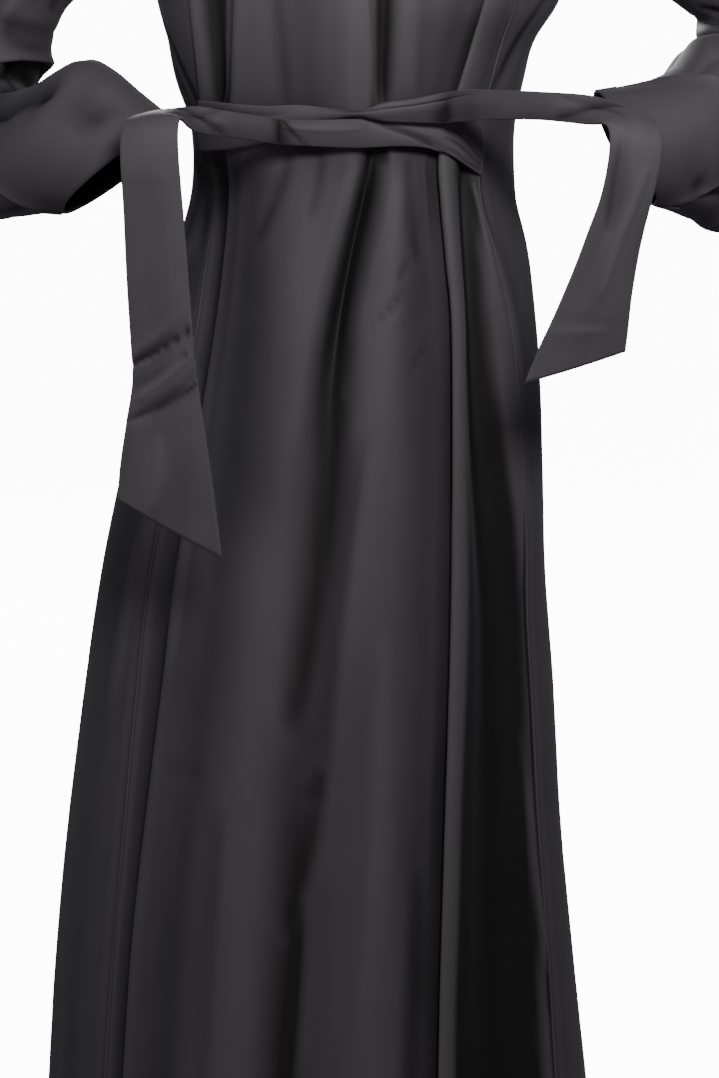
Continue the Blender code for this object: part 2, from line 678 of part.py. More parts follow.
def laid_row(here):
    """A row across a tie where it lies on the body, made from the body's own points."""
    row = []
    for j in range(TIE_ACROSS + 1):
        t = 2.0 * j / TIE_ACROSS - 1.0
        z = here.z + t * here.width / 2
        row.append(skin(z, turn_at(z, here.x), here.out + TIE_CROWN * (1.0 - t * t)))
    return row


def free_row(table, key, side):
    """A row across a tie where it runs free, crowned towards one side."""
    here = read(table, key)
    ahead = read(table, key + 0.1)
    behind = read(table, key - 0.1)
    middle = Vector((here.x, here.y, here.z))
    path = Vector((ahead.x - behind.x, ahead.y - behind.y, ahead.z - behind.z)).normalized()
    across = Vector((here.wx, here.wy, here.wz)).normalized()
    out = (across.cross(path) * side).normalized()
    row = []
    for j in range(TIE_ACROSS + 1):
        t = 2.0 * j / TIE_ACROSS - 1.0
        row.append(middle + across * (t * here.width / 2) + out * TIE_CROWN * (1.0 - t * t))
    return row


def keyed(rows):
    """The rows of a table with a running key put in front, for reading between them."""
    kind = namedtuple("Keyed", ("key",) + rows[0]._fields)
    return [kind(float(key), *row) for key, row in enumerate(rows)]


def tie_rows(laid, free, side):
    """A tie from its seam, across the body, out to the side, and down to its slanted end."""
    on_body = keyed(laid)
    last = skin(laid[-1].z, turn_at(laid[-1].z, laid[-1].x), laid[-1].out)
    off_body = keyed([Free(last.x, last.y, last.z, laid[-1].width, 0.0, 0.0, 1.0)] + free)
    rows = []
    for i in range((len(on_body) - 1) * TIE_STEPS + 1):
        rows.append(laid_row(read(on_body, i / TIE_STEPS)))
    for i in range(1, (len(off_body) - 1) * TIE_STEPS + 1):
        rows.append(free_row(off_body, i / TIE_STEPS, side))
    return rows


def main():
    """Build every piece into a collection named for the garment."""
    for thing in list(bpy.data.objects):
        bpy.data.objects.remove(thing, do_unlink=True)
    garment = bpy.data.collections.new("abaya_cloak")
    bpy.context.scene.collection.children.link(garment)

    front = front_panel_rows()
    side_right, back_right, back_left, side_left = side_and_back_rows()
    left_loop = armhole_loop(front, side_left, back_left, True)
    right_loop = armhole_loop(front, side_right, back_right, False)
    black = (0.018, 0.018, 0.021)
    pieces = [
        ("front_panel", front, WALL),
        ("back_panel_left", back_left, WALL),
        ("back_panel_right", back_right, WALL),
        ("side_panel_left", side_left, WALL),
        ("side_panel_right", side_right, WALL),
        ("sleeve_left", sleeve_rows(LEFT_SLEEVE, left_loop), WALL),
        ("sleeve_right", sleeve_rows(RIGHT_SLEEVE, right_loop), WALL),
        ("sleeve_gore_left", gore_rows(LEFT_SLEEVE), WALL),
        ("sleeve_gore_right", gore_rows(RIGHT_SLEEVE), WALL),
        ("tie_left", tie_rows(LEFT_TIE_LAID, LEFT_TIE_FREE, -1.0), TIE_WALL),
        ("tie_right", tie_rows(RIGHT_TIE_LAID, RIGHT_TIE_FREE, 1.0), TIE_WALL),
    ]
    for name, rows, wall in pieces:
        material = cloth_material(name + "_crepe", black, 0.62)
        garment.objects.link(grid_object(name, rows, wall, material))


main()
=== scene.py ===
"""The looks of a black crepe abaya in its worn pose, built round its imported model.

Each panel, sleeve, gore and tie is a thin sheet on its solid's form, with its pressed folds,
soft creases, turned seams, hems and stitching, in a fine matt crepe with a soft sheen.
Metres, +Z up, the front faces -Y. The origin lies between the shoulders at the neck base.
"""

import functools
import math
from collections import namedtuple

import bmesh
import bpy
import numpy as np
from mathutils import Matrix, Vector, noise


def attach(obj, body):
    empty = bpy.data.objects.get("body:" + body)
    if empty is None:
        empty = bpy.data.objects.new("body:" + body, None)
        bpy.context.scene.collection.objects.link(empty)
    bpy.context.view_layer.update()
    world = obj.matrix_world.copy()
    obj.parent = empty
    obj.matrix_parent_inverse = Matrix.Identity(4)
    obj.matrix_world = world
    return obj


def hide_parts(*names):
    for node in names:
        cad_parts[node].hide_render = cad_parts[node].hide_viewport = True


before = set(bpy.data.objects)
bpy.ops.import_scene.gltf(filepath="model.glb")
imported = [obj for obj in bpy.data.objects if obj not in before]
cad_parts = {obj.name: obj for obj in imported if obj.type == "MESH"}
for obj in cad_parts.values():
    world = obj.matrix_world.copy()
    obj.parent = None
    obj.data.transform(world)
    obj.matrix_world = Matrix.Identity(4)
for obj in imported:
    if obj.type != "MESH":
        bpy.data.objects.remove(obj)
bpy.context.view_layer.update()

# Cloth: the thickness of a panel and of a folded tie, and what is turned in at a seam
WALL = 0.0011
TIE_WALL = 0.0013
TURNED_IN = 0.0042
SEAM_CUT = 0.0003
ARMHOLE_GAP = 0.0008
SHOULDER_SEAM_CUT = 0.0005

# Armholes
UNDERARM_DIP = 0.018
ARMHOLE_SCOOP = 0.014
UNDERARM_EASE = 0.014
EASE_RING = 0.3

# How round the chest rises to the shoulder, and where across it that and the scoop begin
CENTRE_ROUNDING = 0.45
ROUNDING_FROM = 0.3
SCOOP_FROM = 0.9

# Heights and shoulders
SHOULDER_X = 0.190
SHOULDER_Z = -0.045
NECK_X = 0.082
NECK_Z = -0.004
FRONT_NECK = (-0.076, -0.078)
BACK_NECK = (0.054, -0.024)
NECK_SHARES = (0.25, 0.75)
BACK_ARMHOLE_TURN = 118.0

# Pressed folds: how far one layer lies from the next, how far its lift carries sideways,
# the depth of its turned edges, and the flat cloth beside it
LAYER = 0.0042
FOLD_SPREAD = 0.045
FOLD_TURN = 0.0018
FOLD_FLAT = 0.013
FOLD_RUN_IN = 0.00975
FOLD_RUN_OUT = 0.008
FOLD_CLOSED = 0.004

# Columns of the front between its seams and folds, and of the back's sides and centre
FRONT_SPANS = (2, 6, 5, 3)
SIDE_SPANS = 7
BACK_SPANS = 8

# Worn widths and depths at each height
Section = namedtuple("Section", "z left right front back")
BODY = [
    Section(-0.235, -0.203, 0.213, -0.128, 0.112),
    Section(-0.290, -0.191, 0.200, -0.126, 0.105),
    Section(-0.330, -0.182, 0.176, -0.120, 0.098),
    Section(-0.370, -0.173, 0.165, -0.112, 0.092),
    Section(-0.405, -0.161, 0.158, -0.106, 0.088),
    Section(-0.440, -0.158, 0.157, -0.108, 0.092),
    Section(-0.480, -0.161, 0.161, -0.116, 0.104),
    Section(-0.530, -0.174, 0.173, -0.126, 0.122),
    Section(-0.590, -0.191, 0.181, -0.135, 0.140),
    Section(-0.660, -0.209, 0.187, -0.143, 0.154),
    Section(-0.750, -0.231, 0.192, -0.151, 0.166),
    Section(-0.850, -0.252, 0.197, -0.160, 0.176),
    Section(-0.970, -0.270, 0.208, -0.168, 0.186),
    Section(-1.100, -0.287, 0.218, -0.177, 0.196),
    Section(-1.250, -0.304, 0.233, -0.187, 0.207),
    Section(-1.420, -0.316, 0.253, -0.198, 0.220),
]

# Where the seams and the pressed folds of the front run, seen from the front
Lines = namedtuple("Lines", "z left_seam left_fold centre_fold right_fold right_seam")
LINES = [
    Lines(-0.235, -0.158, -0.109, 0.006, 0.134, 0.168),
    Lines(-0.290, -0.154, -0.110, 0.006, 0.122, 0.153),
    Lines(-0.330, -0.151, -0.112, 0.006, 0.111, 0.140),
    Lines(-0.370, -0.148, -0.114, 0.006, 0.099, 0.129),
    Lines(-0.405, -0.147, -0.118, 0.009, 0.088, 0.120),
    Lines(-0.440, -0.149, -0.124, 0.014, 0.080, 0.118),
    Lines(-0.480, -0.153, -0.131, 0.010, 0.082, 0.122),
    Lines(-0.530, -0.160, -0.138, -0.002, 0.087, 0.134),
    Lines(-0.590, -0.168, -0.146, -0.014, 0.092, 0.148),
    Lines(-0.660, -0.180, -0.157, -0.022, 0.093, 0.159),
    Lines(-0.750, -0.195, -0.170, -0.023, 0.094, 0.168),
    Lines(-0.850, -0.211, -0.182, -0.025, 0.094, 0.178),
    Lines(-0.970, -0.223, -0.197, -0.027, 0.092, 0.188),
    Lines(-1.100, -0.236, -0.214, -0.040, 0.088, 0.196),
    Lines(-1.250, -0.251, -0.231, -0.058, 0.084, 0.206),
    Lines(-1.420, -0.264, -0.243, -0.064, 0.082, 0.216),
]

# How far each pressed fold laps over the cloth beside it; below nought it lies open
Laps = namedtuple("Laps", "z left centre right")
LAPS = [
    Laps(-0.235, -0.012, -0.012, -0.012),
    Laps(-0.262, 0.000, 0.000, 0.000),
    Laps(-0.290, 0.008, 0.008, 0.007),
    Laps(-0.370, 0.010, 0.011, 0.010),
    Laps(-0.390, 0.010, 0.008, 0.011),
    Laps(-0.420, 0.011, 0.000, 0.012),
    Laps(-0.450, 0.011, -0.010, 0.013),
    Laps(-0.525, 0.011, -0.012, 0.015),
    Laps(-0.745, 0.011, -0.012, 0.014),
    Laps(-1.420, 0.009, -0.012, 0.011),
]
Lifts = namedtuple("Lifts", "z left centre right")
LIFTS = [
    Lifts(-0.235, 0.0, 0.0, 0.0),
    Lifts(-0.262, 1.0, -1.0, 1.0),
    Lifts(-0.290, 1.0, -1.0, 1.0),
    Lifts(-0.390, 1.0, -1.0, 1.0),
    Lifts(-0.420, 1.0, -0.6, 1.0),
    Lifts(-0.450, 1.0, 0.0, 1.0),
    Lifts(-0.620, 1.0, 0.0, 1.0),
    Lifts(-1.420, 1.0, 0.0, 1.0),
]

# Soft valleys and ridges of the front: across from the middle, half width, and height
Soft = namedtuple("Soft", "z x half_width height")
FRONT_SOFTS = [
    [  # the valley that runs down from the crossed ties
        Soft(-0.422, 0.021, 0.009, 0.000),
        Soft(-0.440, 0.018, 0.009, -0.011),
        Soft(-0.480, 0.010, 0.010, -0.020),
        Soft(-0.530, -0.002, 0.011, -0.023),
        Soft(-0.590, -0.014, 0.013, -0.021),
        Soft(-0.650, -0.021, 0.019, -0.015),
        Soft(-0.740, -0.031, 0.026, -0.009),
        Soft(-0.900, -0.049, 0.028, -0.006),
        Soft(-1.060, -0.058, 0.028, -0.006),
        Soft(-1.420, -0.078, 0.030, -0.010),
    ],
    [  # the full ridge on its left
        Soft(-0.430, -0.060, 0.030, 0.000),
        Soft(-0.500, -0.066, 0.032, 0.009),
        Soft(-0.620, -0.072, 0.034, 0.010),
        Soft(-0.780, -0.085, 0.040, 0.005),
        Soft(-1.420, -0.150, 0.045, 0.008),
    ],
    [  # the lesser ridge on its right
        Soft(-0.430, 0.046, 0.018, 0.000),
        Soft(-0.480, 0.042, 0.020, 0.008),
        Soft(-0.600, 0.030, 0.024, 0.006),
        Soft(-0.800, 0.025, 0.035, 0.005),
        Soft(-1.420, 0.010, 0.045, 0.010),
    ],
    [  # the shaded valley inside the left fold
        Soft(-0.425, -0.128, 0.024, 0.000),
        Soft(-0.470, -0.137, 0.058, -0.017),
        Soft(-0.600, -0.151, 0.064, -0.025),
        Soft(-0.730, -0.164, 0.070, -0.024),
        Soft(-0.900, -0.186, 0.072, -0.015),
        Soft(-1.420, -0.240, 0.072, -0.012),
    ],
    [  # the deep valley between the right fold and the right seam
        Soft(-0.432, 0.103, 0.007, 0.000),
        Soft(-0.465, 0.106, 0.009, -0.012),
        Soft(-0.600, 0.118, 0.012, -0.020),
        Soft(-0.720, 0.129, 0.018, -0.024),
        Soft(-0.890, 0.150, 0.032, -0.028),
        Soft(-1.050, 0.155, 0.040, -0.030),
        Soft(-1.420, 0.162, 0.046, -0.030),
    ],
    [  # the valley left of the left fold above the ties
        Soft(-0.250, -0.136, 0.010, 0.000),
        Soft(-0.300, -0.134, 0.010, -0.009),
        Soft(-0.370, -0.131, 0.009, -0.009),
        Soft(-0.400, -0.130, 0.009, 0.000),
    ],
    [  # the valley right of the centre fold above the ties
        Soft(-0.250, 0.032, 0.011, 0.000),
        Soft(-0.290, 0.029, 0.011, -0.008),
        Soft(-0.370, 0.027, 0.010, -0.008),
        Soft(-0.400, 0.026, 0.010, 0.000),
    ],
]

# Soft flutes of the sides and back, placed by their turn from the front
Flute = namedtuple("Flute", "z turn half_width height")
BACK_FLUTES = [
    [Flute(-0.44, 98, 9, 0.0), Flute(-0.70, 97, 9, -0.006), Flute(-1.42, 95, 9, -0.016)],
    [Flute(-0.44, 122, 10, 0.0), Flute(-0.75, 121, 10, 0.007), Flute(-1.42, 118, 10, 0.016)],
    [Flute(-0.40, 147, 9, -0.002), Flute(-0.62, 146, 9, -0.010), Flute(-1.42, 143, 10, -0.020)],
    [Flute(-0.40, 171, 8, 0.001), Flute(-0.66, 170, 9, 0.008), Flute(-1.42, 168, 10, 0.014)],
    [Flute(-0.40, 193, 8, -0.003), Flute(-0.60, 194, 9, -0.011), Flute(-1.42, 196, 11, -0.018)],
    [Flute(-0.44, 218, 9, 0.0), Flute(-0.80, 220, 10, 0.009), Flute(-1.42, 222, 11, 0.018)],
    [Flute(-0.44, 245, 8, 0.0), Flute(-0.68, 246, 9, -0.009), Flute(-1.42, 248, 10, -0.018)],
    [Flute(-0.44, 268, 8, 0.0), Flute(-0.85, 269, 9, 0.005), Flute(-1.42, 270, 9, 0.012)],
]

# Heights of the rows of the panels below the chest, and the steps from chest to shoulder
ROW_HEIGHTS = [
    -0.235, -0.262, -0.290, -0.325, -0.360, -0.390, -0.420, -0.450, -0.485, -0.525, -0.570,
    -0.620, -0.680, -0.745, -0.815, -0.890, -0.970, -1.055, -1.145, -1.235, -1.330, -1.420,
]
CHEST_STEPS = [0.14, 0.28, 0.42, 0.56, 0.70, 0.82, 0.92, 1.0]

# A sleeve station: its middle, the reach towards the outer side of the bend, the reach
# forward, and the turns between which the gore lies
Station = namedtuple("Station", "step x y z ux uy uz fx fy fz gore_from gore_to")
LEFT_SLEEVE = [
    Station(1, -0.240, 0.004, -0.153, -0.021, 0.000, 0.094, -0.008, -0.070, 0.000, 92, 92),
    Station(2, -0.290, 0.010, -0.195, -0.053, 0.004, 0.069, -0.006, -0.070, 0.000, 94, 94),
    Station(3, -0.345, 0.015, -0.245, -0.064, 0.010, 0.050, -0.009, -0.069, 0.002, 96, 96),
    Station(4, -0.374, 0.020, -0.298, -0.077, 0.026, 0.022, -0.020, -0.066, 0.003, 98, 98),
    Station(5, -0.375, 0.018, -0.352, -0.073, 0.045, -0.004, -0.036, -0.058, 0.002, 102, 106),
    Station(6, -0.373, -0.008, -0.407, -0.043, 0.031, -0.054, -0.037, -0.052, 0.000, 104, 122),
    Station(7, -0.342, -0.055, -0.438, -0.010, 0.000, -0.058, -0.034, -0.048, 0.000, 108, 158),
    Station(8, -0.309, -0.090, -0.434, -0.018, 0.002, -0.062, -0.030, -0.050, 0.000, 70, 178),
    Station(9, -0.273, -0.112, -0.421, -0.027, 0.007, -0.071, -0.026, -0.052, 0.000, 28, 188),
    Station(10, -0.242, -0.125, -0.434, -0.042, 0.010, -0.056, -0.014, -0.050, 0.003, 9, 189),
    Station(11, -0.217, -0.134, -0.449, -0.055, 0.012, -0.041, -0.004, -0.046, 0.008, 2, 190),
]
RIGHT_SLEEVE = [
    Station(1, 0.248, 0.004, -0.152, 0.021, 0.000, 0.093, 0.008, -0.070, 0.000, 92, 92),
    Station(2, 0.302, 0.010, -0.190, 0.052, 0.004, 0.070, 0.006, -0.070, 0.000, 94, 94),
    Station(3, 0.364, 0.015, -0.234, 0.058, 0.010, 0.052, 0.009, -0.069, 0.002, 96, 96),
    Station(4, 0.408, 0.020, -0.280, 0.071, 0.026, 0.026, 0.020, -0.068, 0.003, 97, 97),
    Station(5, 0.416, 0.016, -0.334, 0.072, 0.043, -0.014, 0.036, -0.060, 0.002, 92, 96),
    Station(6, 0.408, -0.013, -0.404, 0.044, 0.030, -0.056, 0.037, -0.053, 0.000, 84, 98),
    Station(7, 0.359, -0.064, -0.419, 0.006, 0.000, -0.092, 0.034, -0.048, 0.000, 72, 100),
    Station(8, 0.326, -0.088, -0.415, 0.003, 0.002, -0.085, 0.028, -0.052, 0.000, 62, 118),
    Station(9, 0.304, -0.106, -0.424, 0.002, 0.004, -0.067, 0.026, -0.052, 0.000, 42, 154),
    Station(10, 0.276, -0.122, -0.429, 0.014, 0.006, -0.057, 0.014, -0.050, 0.002, 16, 180),
    Station(11, 0.252, -0.135, -0.431, 0.030, 0.008, -0.052, 0.004, -0.046, 0.006, 2, 186),
]
GORE_COLUMNS = 8
GORE_TIP_STEP = 5
CUFF_STEP = 11

# A tie where it lies on the body: across, up, how far out, and its width
Laid = namedtuple("Laid", "x z out width")
# A tie where it runs free: its middle, its width and the direction of its width
Free = namedtuple("Free", "x y z width wx wy wz")
RIGHT_TIE_LAID = [
    Laid(0.1195, -0.4300, 0.0032, 0.052),
    Laid(0.1080, -0.4270, 0.0066, 0.044),
    Laid(0.0920, -0.4215, 0.0095, 0.034),
    Laid(0.0700, -0.4175, 0.0115, 0.026),
    Laid(0.0450, -0.4165, 0.0120, 0.023),
    Laid(0.0200, -0.4165, 0.0120, 0.025),
    Laid(0.0000, -0.4170, 0.0125, 0.025),
    Laid(-0.0250, -0.4170, 0.0170, 0.023),
    Laid(-0.0450, -0.4165, 0.0225, 0.022),
    Laid(-0.0600, -0.4155, 0.0285, 0.022),
]
RIGHT_TIE_FREE = [
    Free(-0.085, -0.141, -0.4130, 0.022, 0.00, 0.00, 1.00),
    Free(-0.110, -0.158, -0.4090, 0.022, 0.00, 0.10, 0.99),
    Free(-0.135, -0.176, -0.4050, 0.025, -0.10, 0.40, 0.90),
    Free(-0.155, -0.191, -0.4020, 0.032, -0.50, 0.72, 0.45),
    Free(-0.170, -0.206, -0.4010, 0.041, -0.88, 0.45, 0.10),
    Free(-0.178, -0.219, -0.4050, 0.047, -1.00, 0.12, 0.00),
    Free(-0.180, -0.228, -0.4170, 0.049, -1.00, 0.05, 0.00),
    Free(-0.180, -0.230, -0.4400, 0.050, -1.00, 0.00, 0.00),
    Free(-0.178, -0.229, -0.4760, 0.051, -1.00, 0.00, 0.00),
    Free(-0.175, -0.226, -0.5490, 0.054, -1.00, 0.03, 0.02),
    Free(-0.172, -0.222, -0.6100, 0.056, -0.99, 0.06, 0.08),
    Free(-0.170, -0.220, -0.6420, 0.060, -0.98, 0.06, 0.18),
    Free(-0.170, -0.219, -0.6780, 0.072, -0.96, 0.04, 0.26),
    Free(-0.170, -0.217, -0.7100, 0.084, -0.93, 0.02, 0.34),
    Free(-0.170, -0.214, -0.7420, 0.096, -0.90, 0.00, 0.42),
    Free(-0.169, -0.211, -0.7750, 0.108, -0.86, 0.00, 0.50),
]
LEFT_TIE_LAID = [
    Laid(-0.1460, -0.4110, 0.0034, 0.046),
    Laid(-0.1300, -0.4110, 0.0050, 0.044),
    Laid(-0.1100, -0.4110, 0.0078, 0.040),
    Laid(-0.0800, -0.4090, 0.0080, 0.032),
    Laid(-0.0500, -0.4030, 0.0082, 0.022),
    Laid(-0.0280, -0.4005, 0.0084, 0.013),
    Laid(-0.0080, -0.3995, 0.0105, 0.006),
    Laid(0.0060, -0.3990, 0.0150, 0.005),
    Laid(0.0160, -0.3985, 0.0180, 0.010),
    Laid(0.0280, -0.3975, 0.0200, 0.016),
    Laid(0.0500, -0.3965, 0.0225, 0.020),
    Laid(0.0750, -0.3940, 0.0260, 0.026),
]
LEFT_TIE_FREE = [
    Free(0.104, -0.128, -0.3915, 0.027, 0.00, 0.00, 1.00),
    Free(0.137, -0.151, -0.3910, 0.025, 0.00, 0.10, 0.99),
    Free(0.170, -0.172, -0.3920, 0.024, 0.00, 0.10, 0.99),
    Free(0.198, -0.188, -0.3940, 0.026, 0.10, 0.35, 0.93),
    Free(0.220, -0.199, -0.3970, 0.033, 0.42, 0.65, 0.60),
    Free(0.236, -0.209, -0.4010, 0.040, 0.80, 0.50, 0.25),
    Free(0.247, -0.220, -0.4080, 0.044, 0.96, 0.22, 0.08),
    Free(0.250, -0.227, -0.4230, 0.045, 1.00, 0.05, 0.04),
    Free(0.248, -0.228, -0.4460, 0.045, 1.00, 0.00, 0.05),
    Free(0.243, -0.226, -0.4720, 0.046, 0.99, 0.00, 0.08),
    Free(0.235, -0.223, -0.5000, 0.050, 0.99, 0.00, 0.12),
    Free(0.227, -0.219, -0.5300, 0.056, 0.98, 0.00, 0.16),
    Free(0.217, -0.214, -0.5680, 0.068, 0.97, 0.00, 0.20),
    Free(0.209, -0.209, -0.5980, 0.082, 0.96, 0.00, 0.25),
    Free(0.202, -0.205, -0.6260, 0.094, 0.95, 0.00, 0.30),
]
TIE_CROWN = 0.003
TIE_ACROSS = 6
TIE_STEPS = 2

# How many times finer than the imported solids' columns and rows each sheet is made
FRONT_SPANS_FINE = 3
FRONT_FINE = 2
BACK_FINE = 5
PANEL_ROW_STEPS = 3
PANEL_ROWS_FINE = 2

# How far to both sides, and how deep, a hollow is that gets the fully dark painted shade
HOLLOWS = [(0.014, 0.005), (0.040, 0.022)]
SLEEVE_COLUMNS = 96
SLEEVE_ROWS_FINE = 8
# How many rows round the chest are softened, how often, and over how many columns it fades
CALM_ROWS = 12
CALM_ROUNDS = 30
CALM_COLUMNS = 7
TIE_FINE = 5
TIE_ROWS_FINE = 4

# Steps past an edge and in from it where cloth is turned in at seams, cuffs and the hem
SEAM_PROFILE = [
    (-0.0034, 0.0), (-0.0018, -0.0006), (-0.0007, -0.0008), (0.0001, -0.0002),
    (0.0001, 0.0009), (0.0001, TURNED_IN),
]
SEAM_ROOM = 0.0048
ARMHOLE_PROFILE = [(0.0001, 0.0008), (0.0030, 0.0030), (0.0080, 0.0036)]
CUFF_PROFILE = [(0.0004, 0.0010), (-0.0010, 0.0020), (-0.0220, 0.0022)]
HEM_PROFILE = [(0.0004, 0.0010), (-0.0010, 0.0020), (-0.0330, 0.0022)]
NECK_PROFILE = [(0.0003, 0.0009), (-0.0010, 0.0018), (-0.0080, 0.0020)]
TIE_PROFILE = [(0.0004, 0.0003), (0.0006, 0.0009), (0.0004, 0.0016), (-0.0070, 0.0018)]
TIE_FULL_WIDTH = 0.024
# Edges to turn in: the profile, whether it is the last one, and whether it runs along the rows' ends
SIDE_SEAMS = [(SEAM_PROFILE, False, True), (SEAM_PROFILE, True, True)]
CUFF_EDGE = (CUFF_PROFILE, True, False)
ARMHOLE_EDGE = (ARMHOLE_PROFILE, False, False)
TIE_EDGES = [(TIE_PROFILE, False, True), (TIE_PROFILE, True, True)]

# What each panel is cut from: its width and length, and its area in square metres
PANEL_CUTS = [
    ("front_panel", (0.60, 1.50), 0.75),
    ("back_panel_left", (0.36, 1.50), 0.33),
    ("back_panel_right", (0.36, 1.50), 0.33),
    ("side_panel_left", (0.34, 1.28), 0.25),
    ("side_panel_right", (0.34, 1.28), 0.23),
]

# Unevenness: the heights and scales of its broad and fine waves, and how drawn out they hang
BROAD_WAVE = 0.0010
FINE_WAVE = 0.00022
BROAD_WAVE_SCALE = 15.0
FINE_WAVE_SCALE = 52.0
DRAWN_OUT = 0.45
# How the measures of creases turn into metres, and the share of their width at their ends
MEAN_RADIUS = 0.20
BODY_MIDDLE = 0.02
TURN_METRES = 0.0014
STEP_METRES = 0.055
CREASE_END_WIDTH = 0.55

# Stitches: how far they stand out, how thick they are, the share of each pitch that they fill,
# their pitch, and the rows of the grids that they follow from the hem, the neck and the cuff
STITCH_OUT = 0.00062
STITCH_RADIUS = 0.00030
STITCH_SHARES = (0.14, 0.86)
STITCH_PITCH = 0.0034
HEM_ROW = -3
NECK_ROW = 2
CUFF_ROW = -6
# The crepe's tones: black, faded brown-black, dusk, the near black painted shade of a hollow, and the
# threads' lighter nap, which is partly painted light on raised cloth
CREPE_TONES = [
    (0.0285, 0.0280, 0.0325),
    (0.0380, 0.0320, 0.0360),
    (0.0210, 0.0205, 0.0240),
    (0.0015, 0.0012, 0.0014),
    (0.0500, 0.0480, 0.0530),
]
# The weave's pitch, the scales of the grain and the tones, and how much each does
WEAVE_PITCH = 0.0009
PEBBLE_SCALE = 900.0
SLUB_SCALE = 160.0
BROAD_SCALE = 3.2
PATCH_SCALE = 11.0
DUSK_SHARE = 0.35
NAP_SHARE = 0.25
WEAVE_HEIGHT = 0.35
PEBBLE_HEIGHT = 0.9
SLUB_HEIGHT = 0.8
GRAIN_STRENGTH = 0.35
GRAIN_DEPTH = 0.00012
CREPE_ROUGHNESS = 0.60
PATCH_ROUGHNESS = 0.12
PEBBLE_ROUGHNESS = 0.05
CREPE_SPECULAR = 0.20
SHEEN_ROUGHNESS = 0.42
SHEEN_TINT = (0.80, 0.82, 0.92, 1.0)
THREAD_COLOUR = (0.020, 0.020, 0.023)
THREAD_SCALE = 2200.0
THREAD_LIGHTER = 1.8
THREAD_ROUGHNESS = 0.42

# The camera: its place, how far it looks down in degrees, and its lens in millimetres
CAMERA_PLACE = (0.0056, -2.2, -0.3974)
CAMERA_PITCH = 11.0
LENS = 73.377
SENSOR_WIDTH = 36.0
FLOOR_Z = -1.435
FLOOR_RADIUS = 4.0
BOWL_RADIUS = 2.5
BOWL_HEIGHT = 6.0
BOWL_STEPS = 12
STAGE_TURNS = 72
FLOOR_HOLE = 0.02
STAGE_GLOW = 12.0
STAGE_TONES = ((0.90, 0.90, 0.90), (0.93, 0.93, 0.93))
STAGE_SCALE = 1.6
ROOM_COLOUR = (0.93, 0.95, 1.0, 1.0)
ROOM_STRENGTH = 0.16

# Lights: where each is, where it points, its size, its power in watts, its colour and spread
Lamp = namedtuple("Lamp", "name place aim size power colour spread")
LAMPS = [
    Lamp("key", (0.45, -1.75, 0.45), (0.0, 0.0, -0.42), (0.55, 0.55), 62.0, (1.0, 0.99, 0.98), 180.0),
    Lamp("fill", (-2.2, -1.7, -0.5), (-0.1, 0.0, -0.6), (0.9, 1.4), 20.0, (0.95, 0.95, 1.0), 180.0),
    Lamp("low", (0.0, -2.0, -1.1), (0.0, 0.0, -0.75), (1.4, 0.6), 5.0, (1.0, 0.68, 0.76), 180.0),
    Lamp("back", (-0.8, 2.8, 0.8), (0.0, 0.2, -0.7), (1.4, 1.4), 125.0, (1.0, 1.0, 1.0), 180.0),
    Lamp("chest", (-0.1, -1.9, 0.8), (-0.02, -0.1, -0.03), (0.3, 0.2), 1.6, (1.0, 1.0, 1.0), 18.0),
    Lamp("side", (2.8, 0.4, 0.6), (0.2, 0.0, -0.7), (1.2, 1.6), 5.0, (1.0, 1.0, 1.0), 180.0),
]

